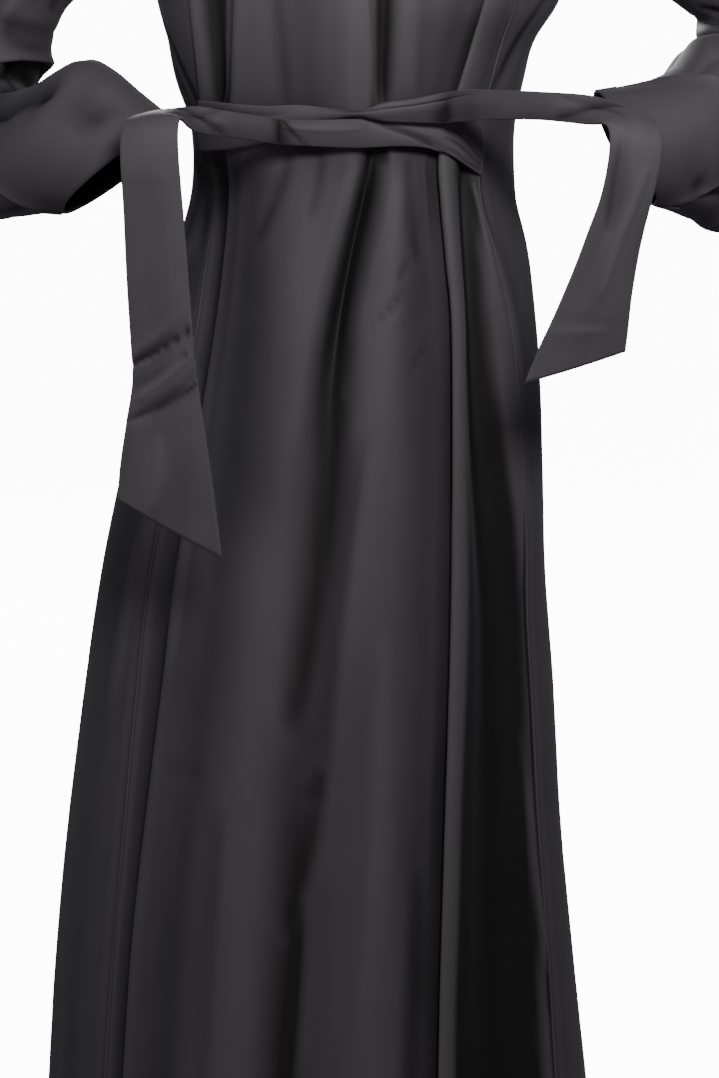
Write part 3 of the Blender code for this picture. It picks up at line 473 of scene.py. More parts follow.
# A crease: where it starts and ends, its half widths on its left and right as seen walking
# from start to end, its height, and how far its middle bows to the left
Crease = namedtuple("Crease", "a b a_end b_end left right height bow")
FRONT_CREASES = [
    # fine slanted creases right of the centre valley
    Crease(0.053, -0.532, 0.040, -0.555, 0.0030, 0.0030, -0.0012, 0.000),
    Crease(0.048, -0.560, 0.014, -0.597, 0.0035, 0.0030, -0.0016, 0.002),
    Crease(0.070, -0.610, 0.050, -0.640, 0.0040, 0.0035, -0.0008, 0.001),
    # the shaded band left of the middle, and the soft edge on its right that runs to the hem
    Crease(-0.013, -0.660, -0.064, -0.985, 0.0180, 0.0160, -0.0040, 0.006),
    Crease(0.010, -0.700, -0.030, -1.050, 0.0070, 0.0300, -0.0035, -0.006),
    Crease(-0.030, -1.020, -0.066, -1.180, 0.0090, 0.0220, -0.0036, 0.003),
    Crease(-0.050, -1.150, -0.070, -1.400, 0.0060, 0.0260, -0.0042, 0.000),
    # the crease from folding, across the left half and a little of the right
    Crease(-0.190, -1.026, -0.036, -1.041, 0.0022, 0.0030, -0.0011, 0.002),
    Crease(0.060, -1.045, 0.092, -1.052, 0.0022, 0.0030, -0.0008, 0.000),
    # the lit sliver beside the right seam and the faint line low beside it
    Crease(0.113, -0.462, 0.152, -0.620, 0.0040, 0.0050, 0.0030, 0.001),
    Crease(0.152, -0.930, 0.208, -1.330, 0.0040, 0.0030, 0.0014, -0.003),
    # soft pulls from the ties and on the chest
    Crease(-0.060, -0.432, -0.092, -0.520, 0.0080, 0.0060, -0.0022, 0.002),
    Crease(-0.030, -0.432, -0.044, -0.500, 0.0060, 0.0050, -0.0014, 0.001),
    Crease(0.052, -0.440, 0.062, -0.540, 0.0070, 0.0090, -0.0016, -0.002),
    Crease(0.088, -0.440, 0.093, -0.560, 0.0050, 0.0060, 0.0015, 0.000),
    Crease(-0.080, -0.250, -0.064, -0.392, 0.0080, 0.0100, -0.0016, 0.003),
    Crease(0.082, -0.200, 0.062, -0.385, 0.0100, 0.0080, -0.0020, -0.003),
    Crease(0.150, -0.165, 0.105, -0.300, 0.0090, 0.0070, -0.0030, 0.004),
    Crease(-0.148, -0.160, -0.095, -0.285, 0.0070, 0.0100, -0.0030, -0.004),
    Crease(-0.150, -0.640, -0.180, -0.940, 0.0070, 0.0090, 0.0020, 0.002),
    Crease(0.030, -0.880, 0.012, -1.300, 0.0160, 0.0120, 0.0022, 0.004),
    Crease(-0.130, -1.060, -0.150, -1.390, 0.0120, 0.0180, -0.0032, -0.004),
    Crease(0.062, -1.120, 0.052, -1.410, 0.0120, 0.0100, -0.0028, 0.002),
]
BACK_CREASES = [
    # right side: lights beside the seam, pulls from the underarm and towards the waist
    Crease(62, -0.500, 70, -0.660, 0.0050, 0.0080, 0.0030, 0.002),
    Crease(78, -0.262, 66, -0.385, 0.0080, 0.0060, -0.0035, 0.004),
    Crease(98, -0.258, 88, -0.350, 0.0060, 0.0080, -0.0028, 0.000),
    Crease(112, -0.300, 92, -0.420, 0.0090, 0.0070, -0.0030, 0.003),
    Crease(84, -0.430, 96, -0.610, 0.0080, 0.0100, -0.0035, 0.003),
    # back: drags at the waist, the blades and the seat
    Crease(128, -0.330, 150, -0.405, 0.0080, 0.0060, -0.0032, 0.004),
    Crease(134, -0.372, 163, -0.432, 0.0060, 0.0080, -0.0026, 0.002),
    Crease(150, -0.150, 163, -0.300, 0.0120, 0.0100, -0.0030, -0.004),
    Crease(176, -0.300, 171, -0.410, 0.0080, 0.0060, 0.0022, 0.000),
    Crease(212, -0.140, 199, -0.310, 0.0100, 0.0120, -0.0034, 0.005),
    Crease(232, -0.335, 206, -0.408, 0.0060, 0.0090, -0.0034, -0.003),
    Crease(228, -0.385, 196, -0.440, 0.0070, 0.0060, -0.0022, -0.002),
    Crease(160, -0.470, 153, -0.640, 0.0090, 0.0120, -0.0034, 0.003),
    Crease(206, -0.460, 214, -0.680, 0.0100, 0.0080, -0.0030, -0.003),
    Crease(182, -0.520, 184, -0.800, 0.0120, 0.0090, 0.0026, 0.002),
    Crease(130, -0.900, 133, -1.300, 0.0100, 0.0140, -0.0030, 0.004),
    Crease(208, -0.980, 206, -1.380, 0.0120, 0.0100, 0.0028, -0.003),
    Crease(232, -1.020, 236, -1.390, 0.0100, 0.0120, -0.0030, 0.002),
    Crease(124, -1.026, 176, -1.036, 0.0030, 0.0022, -0.0010, 0.001),
    Crease(196, -1.034, 240, -1.028, 0.0022, 0.0030, -0.0010, 0.000),
    # left side
    Crease(262, -0.262, 282, -0.380, 0.0070, 0.0090, -0.0034, -0.003),
    Crease(274, -0.300, 292, -0.400, 0.0060, 0.0070, -0.0026, 0.002),
    Crease(248, -0.300, 262, -0.440, 0.0090, 0.0070, -0.0030, -0.004),
    Crease(276, -0.440, 266, -0.640, 0.0090, 0.0080, -0.0034, 0.002),
    Crease(290, -0.620, 286, -1.000, 0.0090, 0.0070, 0.0026, 0.003),
]
LEFT_SLEEVE_CREASES = [
    # upper sleeve
    Crease(150, 0.9, 168, 3.6, 0.012, 0.010, -0.0050, 0.004),
    Crease(236, 0.8, 214, 3.9, 0.010, 0.014, -0.0060, -0.005),
    Crease(330, 0.9, 348, 3.4, 0.010, 0.012, -0.0040, 0.004),
    Crease(118, 1.4, 128, 4.4, 0.008, 0.008, -0.0030, 0.002),
    Crease(132, 3.5, 136, 4.6, 0.004, 0.004, 0.0022, 0.000),
    # the crook of the elbow
    Crease(118, 4.2, 226, 4.5, 0.010, 0.014, -0.0080, 0.004),
    Crease(128, 5.2, 232, 5.2, 0.012, 0.010, -0.0090, -0.003),
    Crease(140, 6.2, 224, 5.9, 0.009, 0.012, -0.0070, 0.003),
    Crease(160, 4.8, 190, 6.7, 0.010, 0.008, -0.0040, 0.000),
    Crease(300, 4.3, 385, 4.9, 0.010, 0.012, -0.0030, 0.004),
    Crease(318, 5.6, 398, 5.6, 0.012, 0.009, -0.0034, -0.004),
    # forearm
    Crease(232, 6.6, 252, 9.8, 0.012, 0.010, -0.0060, 0.005),
    Crease(286, 6.4, 296, 10.2, 0.010, 0.014, -0.0050, -0.004),
    Crease(344, 6.8, 352, 9.6, 0.010, 0.010, -0.0040, 0.003),
    Crease(206, 8.2, 214, 10.8, 0.007, 0.009, -0.0032, 0.000),
    Crease(388, 8.0, 396, 10.4, 0.005, 0.007, -0.0030, 0.001),
]
LEFT_GORE_CREASES = [
    Crease(134, 7.4, 116, 10.9, 0.026, 0.030, -0.0110, 0.000),
    Crease(116, 10.0, 138, 10.9, 0.012, 0.010, 0.0030, 0.002),
    Crease(128, 8.6, 160, 9.8, 0.008, 0.010, -0.0030, 0.003),
    Crease(120, 7.0, 134, 9.4, 0.008, 0.010, -0.0032, -0.003),
    Crease(60, 9.2, 78, 10.8, 0.009, 0.007, -0.0026, 0.002),
    Crease(150, 7.6, 170, 10.2, 0.007, 0.007, 0.0022, 0.002),
]
RIGHT_SLEEVE_CREASES = [
    # upper sleeve
    Crease(146, 0.9, 164, 3.2, 0.012, 0.010, -0.0050, 0.004),
    Crease(224, 0.8, 206, 3.8, 0.012, 0.012, -0.0060, -0.004),
    Crease(322, 0.9, 340, 3.8, 0.010, 0.012, -0.0044, 0.004),
    Crease(116, 1.5, 122, 4.2, 0.008, 0.008, -0.0030, -0.003),
    Crease(168, 3.8, 150, 4.3, 0.005, 0.005, -0.0040, 0.000),
    # the crook of the elbow
    Crease(112, 4.4, 222, 4.4, 0.010, 0.012, -0.0080, 0.003),
    Crease(120, 5.1, 230, 5.3, 0.012, 0.012, -0.0090, -0.004),
    Crease(130, 6.0, 220, 6.2, 0.010, 0.010, -0.0070, 0.002),
    Crease(296, 4.2, 380, 5.0, 0.012, 0.010, -0.0034, 0.004),
    Crease(316, 5.4, 392, 5.9, 0.010, 0.010, -0.0032, 0.003),
    # forearm
    Crease(132, 6.6, 148, 9.0, 0.008, 0.010, -0.0036, 0.003),
    Crease(186, 6.4, 206, 9.8, 0.010, 0.012, -0.0050, -0.004),
    Crease(256, 6.6, 274, 10.4, 0.012, 0.010, -0.0056, 0.004),
    Crease(330, 6.8, 338, 10.0, 0.010, 0.012, -0.0044, -0.003),
    Crease(408, 7.6, 418, 10.2, 0.010, 0.007, -0.0040, 0.003),
]
RIGHT_GORE_CREASES = [
    Crease(96, 10.6, 80, 8.9, 0.005, 0.007, -0.0028, 0.001),
    Crease(56, 8.9, 52, 9.9, 0.012, 0.016, -0.0070, 0.000),
    Crease(130, 9.2, 118, 10.8, 0.010, 0.008, -0.0028, 0.002),
    Crease(92, 6.6, 88, 8.4, 0.010, 0.008, -0.0026, 0.000),
]
# On a tie a is across it, from its middle, and b runs along it from its seam
LEFT_TIE_CREASES = [
    Crease(0.0010, 0.165, 0.0095, 0.290, 0.0007, 0.0012, -0.0011, 0.001),
    Crease(-0.0060, 0.190, -0.0040, 0.330, 0.0040, 0.0050, -0.0008, 0.001),
    Crease(0.0140, 0.020, 0.0050, 0.110, 0.0030, 0.0040, -0.0012, 0.000),
    Crease(-0.0100, 0.372, 0.0120, 0.436, 0.0040, 0.0050, -0.0022, 0.002),
    Crease(0.0090, 0.380, -0.0060, 0.470, 0.0050, 0.0040, -0.0018, 0.000),
    Crease(-0.0120, 0.470, -0.0060, 0.560, 0.0060, 0.0080, -0.0022, 0.003),
    Crease(0.0120, 0.500, 0.0040, 0.620, 0.0080, 0.0060, 0.0024, 0.002),
    Crease(-0.0420, 0.640, 0.0200, 0.655, 0.0050, 0.0030, 0.0012, 0.000),
]
RIGHT_TIE_CREASES = [
    # the turned-over edge, and the creases that fan out from the seam
    Crease(-0.0170, 0.040, 0.0130, 0.126, 0.0010, 0.0060, -0.0024, 0.002),
    Crease(-0.0200, 0.004, -0.0120, 0.046, 0.0016, 0.0022, -0.0018, 0.001),
    Crease(-0.0170, 0.004, -0.0030, 0.050, 0.0020, 0.0026, -0.0018, -0.001),
    Crease(-0.0120, 0.005, 0.0080, 0.044, 0.0024, 0.0020, -0.0014, -0.002),
    Crease(0.0120, 0.208, -0.0120, 0.182, 0.0008, 0.0030, -0.0018, 0.001),
    Crease(0.0040, 0.130, 0.0050, 0.206, 0.0030, 0.0040, 0.0014, 0.001),
    # over the loop and down the tail
    Crease(-0.0100, 0.262, 0.0140, 0.318, 0.0040, 0.0050, -0.0022, 0.002),
    Crease(0.0120, 0.268, -0.0060, 0.340, 0.0050, 0.0040, -0.0018, 0.002),
    Crease(-0.0270, 0.418, 0.0270, 0.416, 0.0020, 0.0026, -0.0007, 0.001),
    Crease(-0.0280, 0.542, 0.0320, 0.586, 0.0016, 0.0060, -0.0030, 0.000),
    Crease(-0.0300, 0.560, 0.0310, 0.618, 0.0050, 0.0030, 0.0030, 0.001),
    Crease(-0.0330, 0.585, 0.0360, 0.640, 0.0020, 0.0050, -0.0020, 0.002),
    Crease(0.0080, 0.640, 0.0200, 0.720, 0.0090, 0.0070, 0.0022, 0.003),
]


def slope(rows, index, column):
    """The slope of a table's column at one row."""
    before = rows[max(index - 1, 0)]
    after = rows[min(index + 1, len(rows) - 1)]
    return (after[column] - before[column]) / (after[0] - before[0])


def read(rows, key):
    """Read a table between its rows, on a smooth curve through every column."""
    order = 1.0 if rows[-1][0] > rows[0][0] else -1.0
    place = min(max(key * order, rows[0][0] * order), rows[-1][0] * order)
    index = max(i for i in range(len(rows) - 1) if rows[i][0] * order <= place)
    span = rows[index + 1][0] - rows[index][0]
    t = (place * order - rows[index][0]) / span
    values = []
    for column in range(len(rows[0])):
        start = rows[index][column]
        end = rows[index + 1][column]
        pull = slope(rows, index, column) * span
        push = slope(rows, index + 1, column) * span
        values.append(
            (2 * t**3 - 3 * t**2 + 1) * start
            + (t**3 - 2 * t**2 + t) * pull
            + (3 * t**2 - 2 * t**3) * end
            + (t**3 - t**2) * push
        )
    return type(rows[0])(*values)


def ease(t):
    """A soft step from nought to one."""
    t = min(max(t, 0.0), 1.0)
    return t * t * (3.0 - 2.0 * t)


def bump(distance, half_width):
    """A soft rounded ridge, one high at its middle."""
    return math.exp(-((distance / half_width) ** 2))


@functools.cache
def body_at(z):
    """The body's widths and depths at a height."""
    return read(BODY, z)


@functools.cache
def softs_at(z):
    """The front's valleys and ridges that reach a height."""
    return [read(soft, z) for soft in FRONT_SOFTS if soft[-1].z <= z <= soft[0].z]


@functools.cache
def flutes_at(z):
    """The flutes of the sides and back at a height."""
    return [read(flute, z) for flute in BACK_FLUTES]


def turn_at(z, x):
    """The turn round the body, from the front, at which the front lies at x."""
    body = body_at(z)
    middle = (body.left + body.right) / 2
    half = (body.right - body.left) / 2
    return math.asin(min(max((x - middle) / half, -1.0), 1.0))


def turn_after(z, turn, length):
    """The turn reached after a length of cloth round the body."""
    body = body_at(z)
    half = (body.right - body.left) / 2
    depth = -body.front if math.cos(turn) > 0 else body.back
    reach = math.hypot(half * math.cos(turn), depth * math.sin(turn))
    return turn + length / reach


def relief(z, turn):
    """How far the soft folds stand out from the plain body at a turn."""
    body = body_at(z)
    x = (body.left + body.right) / 2 + (body.right - body.left) / 2 * math.sin(turn)
    front = ease(math.cos(turn) / 0.25)
    height = sum(front * here.height * bump(x - here.x, here.half_width) for here in softs_at(z))
    degrees = math.degrees(turn) % 360.0
    return height + sum(here.height * bump(degrees - here.turn, here.half_width) for here in flutes_at(z))


def skin(z, turn, out):
    """A point of the body at a turn, moved out from its soft folds."""
    body = body_at(z)
    half = (body.right - body.left) / 2
    depth = -body.front if math.cos(turn) > 0 else body.back
    point = Vector(((body.left + body.right) / 2 + half * math.sin(turn), -depth * math.cos(turn), z))
    away = Vector((depth * math.sin(turn), -half * math.cos(turn), 0.0)).normalized()
    return point + away * out


def fold_points(lap, lift):
    """A pressed fold across the cloth: along it, and out from it, from left to right."""
    side = min(max(lap / FOLD_CLOSED, -1.0), 1.0)
    start = min(lap, 0.0) - FOLD_RUN_IN
    stand = lift * (1.0 - abs(side)) / 6
    return [
        (start, -lift),
        (lap - FOLD_TURN, -lift),
        (lap, -lift / 2),
        (lap - side * FOLD_TURN, -stand),
        (side * FOLD_TURN, stand),
        (0.0, lift / 2),
        (FOLD_TURN, lift),
        (FOLD_FLAT, lift),
    ]


def front_row(z):
    """The front panel's points at one height, from its left seam to its right seam."""
    lines = read(LINES, z)
    laps = read(LAPS, z)
    lifts = read(LIFTS, z)
    folds = [
        (turn_at(z, lines.left_fold), laps.left, lifts.left * LAYER),
        (turn_at(z, lines.centre_fold), laps.centre, lifts.centre * LAYER),
        (turn_at(z, lines.right_fold), laps.right, lifts.right * LAYER),
    ]
    start = turn_after(z, turn_at(z, lines.left_seam), SEAM_CUT / 2)
    end = turn_after(z, turn_at(z, lines.right_seam), -SEAM_CUT / 2)

    def level(turn):
        height = relief(z, turn)
        for fold_turn, _, lift in folds:
            per_turn = 1.0 / (turn_after(z, fold_turn, 1.0) - fold_turn)
            length = (turn - fold_turn) * per_turn
            room = ((end if length > 0 else start) - fold_turn) * per_turn
            spread = min(abs(room) - FOLD_FLAT, FOLD_SPREAD)
            side = math.copysign(lift, length * lift)
            height += side * (1.0 - ease((abs(length) - FOLD_FLAT) / spread))
        return height

    row = []
    left = start
    for (fold_turn, lap, lift), spans in zip(folds, FRONT_SPANS):
        spans *= FRONT_SPANS_FINE
        points = fold_points(lap, lift)
        first = turn_after(z, fold_turn, points[0][0])
        for i in range(spans):
            turn = left + (first - left) * i / spans
            row.append(skin(z, turn, level(turn)))
        for along, out in points:
            turn = turn_after(z, fold_turn, along)
            held = min(abs(lift) / LAYER, 1.0)
            row.append(skin(z, turn, relief(z, turn + (fold_turn - turn) * held) + out))
        left = turn_after(z, fold_turn, points[-1][0] + FOLD_RUN_OUT)
    spans = FRONT_SPANS[-1] * FRONT_SPANS_FINE
    for i in range(spans + 1):
        turn = left + (end - left) * i / spans
        row.append(skin(z, turn, level(turn)))
    return row


def back_turns(z):
    """The turns of the columns of the right side, the back's halves and the left side."""
    lines = read(LINES, z)
    right = math.radians(BACK_ARMHOLE_TURN)
    seams = [
        turn_at(z, lines.right_seam),
        right,
        math.pi,
        2 * math.pi - right,
        2 * math.pi + turn_at(z, lines.left_seam),
    ]
    panels = []
    counts = (SIDE_SPANS, BACK_SPANS, BACK_SPANS, SIDE_SPANS)
    for first, last, spans in zip(seams, seams[1:], counts):
        start = turn_after(z, first, SEAM_CUT / 2)
        end = turn_after(z, last, -SEAM_CUT / 2)
        panels.append([start + (end - start) * i / spans for i in range(spans + 1)])
    return panels


def top_point(share, front):
    """The shoulder and neck edge of a panel; share runs from the left tip to the right tip."""
    side = -1.0 if share < 0.5 else 1.0
    inner = abs(share - 0.5) * 2.0
    cut = -SHOULDER_SEAM_CUT / 2 if front else SHOULDER_SEAM_CUT / 2
    neck_share = 1.0 - 2.0 * NECK_SHARES[0]
    if inner >= neck_share:
        t = (inner - neck_share) / (1.0 - neck_share)
        return Vector((
            side * (NECK_X + (SHOULDER_X - NECK_X) * t),
            cut,
            NECK_Z + (SHOULDER_Z - NECK_Z) * t,
        ))
    neck = FRONT_NECK if front else BACK_NECK
    angle = inner / neck_share * math.pi / 2
    return Vector((
        side * NECK_X * math.sin(angle),
        cut + (neck[0] - cut) * math.cos(angle),
        NECK_Z + (neck[1] - NECK_Z) * math.cos(angle),
    ))


def snapped(shares):
    """Shares along the top edge, with the nearest ones moved to the corners of the neck."""
    result = list(shares)
    for corner in NECK_SHARES:
        nearest = min(range(len(result)), key=lambda i: abs(result[i] - corner))
        result[nearest] = corner
    return result


def rise(low, high, step, over):
    """A point between the chest and the top edge; over rounds the way to a shoulder."""
    angle = step * math.pi / 2
    up = (1 - over) * step + over * math.sin(angle)
    back = (1 - over) * step + over * (1 - math.cos(angle))
    return Vector((
        low.x + (high.x - low.x) * ease(step),
        low.y + (high.y - low.y) * back,
        low.z + (high.z - low.z) * up,
    ))


def upper_rows(chest_row, front):
    """The rows from the chest row up to the shoulders and the neck."""
    low_x = chest_row[0].x
    high_x = chest_row[-1].x
    shares = snapped([(point.x - low_x) / (high_x - low_x) for point in chest_row])
    rows = []
    for step in CHEST_STEPS:
        row = []
        for point, share in zip(chest_row, shares):
            outward = abs(share - 0.5) * 4.0
            over = CENTRE_ROUNDING + (1.0 - CENTRE_ROUNDING) * ease(outward - ROUNDING_FROM)
            place = rise(point, top_point(share, front), step, over)
            scoop = ARMHOLE_SCOOP * ease(outward - SCOOP_FROM) * math.sin(step * math.pi)
            place.x -= math.copysign(scoop, place.x)
            row.append(place)
        rows.append(row)
    return rows


def refine(points, pieces):
    """Rows of points with smooth ones set between them, through every row."""
    points = np.asarray(points, float)
    gaps = np.diff(points, axis=0)
    spans = np.sqrt(np.maximum(np.linalg.norm(gaps, axis=-1, keepdims=True), 1e-9))
    rates = gaps / spans
    inner = (rates[:-1] * spans[1:] + rates[1:] * spans[:-1]) / (spans[:-1] + spans[1:])
    slopes = np.concatenate([rates[:1], inner, rates[-1:]])
    result = []
    for i, span in enumerate(spans):
        for t in np.arange(pieces) / pieces:
            result.append(
                (2 * t**3 - 3 * t**2 + 1) * points[i]
                + (t**3 - 2 * t**2 + t) * slopes[i] * span
                + (3 * t**2 - 2 * t**3) * points[i + 1]
                + (t**3 - t**2) * slopes[i + 1] * span
            )
    return np.array(result + [points[-1]])


def refine_across(points, pieces):
    """The same, along each row."""
    return refine(np.swapaxes(np.asarray(points, float), 0, 1), pieces).swapaxes(0, 1)


def lengths_along(path):
    """The length from the start of a path to each of its points."""
    return np.concatenate([[0.0], np.cumsum(np.linalg.norm(np.diff(path, axis=0), axis=1))])


def spots_on(lengths, path, places):
    """What a path holds at some lengths along it."""
    return np.array([np.interp(places, lengths, path[:, k]) for k in range(3)]).T


def measured(points, axis):
    """The middling length to each column of a grid, or to each row, from its first one."""
    steps = np.median(np.linalg.norm(np.diff(points, axis=axis), axis=-1), axis=1 - axis)
    return np.concatenate([[0.0], np.cumsum(steps)])


def normals_of(points, flip):
    """The way out from a sheet at each of its points."""
    down = np.gradient(points, axis=0)
    across = np.gradient(points, axis=1)
    out = np.cross(down, across) * (-1.0 if flip else 1.0)
    return out / np.maximum(np.linalg.norm(out, axis=-1, keepdims=True), 1e-12)


def crease_field(across, along, creases):
    """How far creases move the cloth out at each point; both measures are in metres."""
    total = np.zeros_like(across)
    for crease in creases:
        run_a = crease.a_end - crease.a
        run_b = crease.b_end - crease.b
        length = math.hypot(run_a, run_b)
        t = ((across - crease.a) * run_a + (along - crease.b) * run_b) / length**2
        middle = np.clip(1.0 - (2.0 * t - 1.0) ** 2, 0.0, 1.0)
        off = ((along - crease.b) * run_a - (across - crease.a) * run_b) / length
        off = off - crease.bow * middle
        width = np.where(off > 0.0, crease.left, crease.right) * (
            CREASE_END_WIDTH + (1.0 - CREASE_END_WIDTH) * middle
        )
        total += crease.height * np.sqrt(middle) * np.exp(-((off / width) ** 2))
    return total


def unevenness(points, seed):
    """The small unevenness that hanging cloth has everywhere."""
    heights = np.zeros(points.shape[:2])
    for index in np.ndindex(heights.shape):
        spot = Vector(points[index])
        spot.z *= DRAWN_OUT
        broad = noise.noise(spot * BROAD_WAVE_SCALE + Vector((seed, 0.0, 0.0)))
        fine = noise.noise(spot * FINE_WAVE_SCALE + Vector((0.0, seed, 0.0)))
        heights[index] = BROAD_WAVE * broad + FINE_WAVE * fine
    return heights


def turned(points, out, profile, last, across, reach=1.0):
    """Turn an edge in: profile gives steps past the edge and in from it, in metres.

    A profile that starts short of the edge takes its place, as over a pressed seam allowance.
    """
    if across:
        points = points.swapaxes(0, 1)
        out = out.swapaxes(0, 1)
    edge = points[-1] if last else points[0]
    beside = points[-2] if last else points[1]
    inward = -(out[-1] if last else out[0])
    past = edge - beside
    spacing = np.maximum(np.linalg.norm(past, axis=-1, keepdims=True), 1e-12)
    past = past / spacing
    room = np.minimum(spacing / SEAM_ROOM, 1.0) if profile[0][0] < 0.0 else reach
    added = [edge + past * forward * room + inward * depth for forward, depth in profile]
    if profile[0][0] < 0.0:
        points = points[:-1] if last else points[1:]
    if last:
        points = np.concatenate([points, added])
    else:
        points = np.concatenate([added[::-1], points])
    return points.swapaxes(0, 1) if across else points


def edged(points, out, flip, edges, reach=1.0):
    """Turn in one edge after another; each has a profile and says where turned() finds it."""
    for profile, last, across in edges:
        points = turned(points, out, profile, last, across, reach)
        out = normals_of(points, flip)
    return points


def in_metres(creases, across, along):
    """Creases with their measures across and along turned into metres."""
    return [
        crease._replace(a=crease.a * across, a_end=crease.a_end * across,
                        b=crease.b * along, b_end=crease.b_end * along)
        for crease in creases
    ]


def object_of(mesh, name, finish):
    """A smooth object with one finish, from a bmesh that is freed."""
    for face in mesh.faces:
        face.smooth = True
    data = bpy.data.meshes.new(name)
    mesh.to_mesh(data)
    mesh.free()
    data.materials.append(finish)
    piece = bpy.data.objects.new(name, data)
    bpy.context.scene.collection.objects.link(piece)
    return piece


def sunk_across(points, out, reach):
    """How deep each point lies below the cloth a reach away on both sides of it, along its row."""
    along = measured(points, 1)
    places = np.arange(points.shape[1], dtype=float)
    total = -points
    for side in (-reach, reach):
        place = np.interp(along + side, along, places)
        low = np.floor(place).astype(int)
        high = np.minimum(low + 1, len(places) - 1)
        share = (place - low)[None, :, None]
        total = total + (points[:, low] * (1.0 - share) + points[:, high] * share) / 2
    return np.sum(total * out, axis=-1)


def hollows_of(points, flip):
    """How far each point lies in a hollow of the cloth or stands out of it, from nought to one; it sets the
    painted shade in hollows and the painted light on raised cloth.
    """
    out = normals_of(points, flip)
    level = np.full(points.shape[:2], 0.5)
    for reach, depth in HOLLOWS:
        down = sunk_across(points.swapaxes(0, 1), out.swapaxes(0, 1), reach).swapaxes(0, 1)
        level -= (sunk_across(points, out, reach) + down) / depth / 2
    return np.clip(level, 0.0, 1.0)


def sheet_object(name, points, flip, wall, finish):
    """A sheet of cloth on a grid of points, measured along and across for its weave."""
    rows, columns = points.shape[:2]
    # The hollow level of each point is kept on the mesh for the crepe's painted shade in hollows and painted
    # light on raised cloth.
    painted_shade_levels = hollows_of(points, flip)
    mesh = bmesh.new()
    bmesh.ops.create_grid(mesh, x_segments=columns - 1, y_segments=rows - 1, size=1.0)
    measure_across = measured(points, 1)
    measure_along = measured(points, 0)
    weave = mesh.loops.layers.uv.new("weave")
    hollow = mesh.verts.layers.float.new("hollow")
    spots = {}
    for vertex in mesh.verts:
        column = round((vertex.co.x + 1.0) / 2.0 * (columns - 1))
        row = round((vertex.co.y + 1.0) / 2.0 * (rows - 1))
        spots[vertex] = (row, column)
        vertex[hollow] = painted_shade_levels[row, column]
    for face in mesh.faces:
        for loop in face.loops:
            row, column = spots[loop.vert]
            loop[weave].uv = (measure_across[column], measure_along[row])
    for vertex, spot in spots.items():
        vertex.co = points[spot]
    piece = object_of(mesh, name, finish)
    thickness = piece.modifiers.new("Wall", "SOLIDIFY")
    thickness.thickness = wall
    thickness.offset = 0.0
    return piece


def body_heights():
    """The heights of the rows below the chest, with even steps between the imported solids' rows."""
    heights = []
    for high, low in zip(ROW_HEIGHTS, ROW_HEIGHTS[1:]):
        heights += [high + (low - high) * i / PANEL_ROW_STEPS for i in range(PANEL_ROW_STEPS)]
    return heights + ROW_HEIGHTS[-1:]


def calmed(points, held):
    """Soften the bend at the chest row, away from the columns that meet other pieces there."""
    chest = len(CHEST_STEPS) * PANEL_ROW_STEPS * PANEL_ROWS_FINE
    rows, columns = points.shape[:2]
    free = np.ones(columns)
    for column in held:
        free = np.minimum(free, np.abs(np.arange(columns) - column % columns) / CALM_COLUMNS)
    near = np.clip(1.0 - np.abs(np.arange(rows) - chest) / CALM_ROWS, 0.0, 1.0)
    share = (near[1:-1, None] * free[None])[..., None] * 0.5
    for _ in range(CALM_ROUNDS):
        points[1:-1] += share * ((points[:-2] + points[2:]) / 2 - points[1:-1])
    return points


def front_points():
    """The front panel's fine grid of points, from the shoulders down to the hem."""
    body = [front_row(z) for z in body_heights()]
    upper = upper_rows(body[0], True)[::-1] + body[:1]
    points = np.concatenate([refine(upper, PANEL_ROW_STEPS)[:-1], body])
    return calmed(refine(refine_across(points, FRONT_FINE), PANEL_ROWS_FINE), (0, -1))


def side_and_back_points():
    """The fine grids of the right side, the back's halves and the left side."""
    panels = [[], [], [], []]
    for z in body_heights():
        for panel, turns in zip(panels, back_turns(z)):
            panel.append([skin(z, turn, relief(z, turn)) for turn in turns])
    right, back_right, back_left, left = [np.array(panel) for panel in panels]
    dip_rows = 2 * PANEL_ROW_STEPS
    for side in (right, left):
        dip = UNDERARM_DIP * np.sin(np.linspace(0.0, math.pi, SIDE_SPANS + 1))
        fade = 1.0 - np.arange(dip_rows) / dip_rows
        side[:dip_rows, :, 2] -= fade[:, None] * dip[None]
    chest = [Vector(point) for point in (*back_right[0], *back_left[0])]
    upper = [row[::-1] for row in upper_rows(chest[::-1], False)[::-1]]
    upper = refine(upper + [chest], PANEL_ROW_STEPS)[:-1]
    back_right = np.concatenate([upper[:, : BACK_SPANS + 1], back_right])
    back_left = np.concatenate([upper[:, BACK_SPANS + 1 :], back_left])
    right, back_right, back_left, left = [
        refine(refine_across(grid, BACK_FINE), PANEL_ROWS_FINE)
        for grid in (right, back_right, back_left, left)
    ]
    return right, calmed(back_right, (0,)), calmed(back_left, (-1,)), left


def armhole_loop(front, side, back, left):
    """The closed edge of one armhole, from the shoulder tip down the front and up the back."""
    chest = len(CHEST_STEPS) * PANEL_ROW_STEPS * PANEL_ROWS_FINE
    front_column = 0 if left else -1
    back_column = -1 if left else 0
    edge = list(front[: chest + 1, front_column])
    edge += list(side[0, ::-1] if left else side[0])
    edge += list(back[: chest + 1, back_column][::-1])
    edge = np.array(edge)
    edge[0] = edge[-1] = (edge[0] + edge[-1]) / 2
    lengths = lengths_along(edge)
    return spots_on(lengths, edge, np.linspace(0.0, lengths[-1], SLEEVE_COLUMNS + 1)[:-1])


def station_point(station, turn):
    """A point of the sleeve at a station."""
    middle = Vector((station.x, station.y, station.z))
    out = Vector((station.ux, station.uy, station.uz))
    front = Vector((station.fx, station.fy, station.fz))
    return middle + out * math.cos(turn) + front * math.sin(turn)


def arc_row(station, first, last, columns):
    """Points of the sleeve between two seams at a station, whose turns are in degrees."""
    turns = [math.radians(first + (last - first) * i / columns) for i in range(columns + 1)]
    return [station_point(station, turn) for turn in turns]


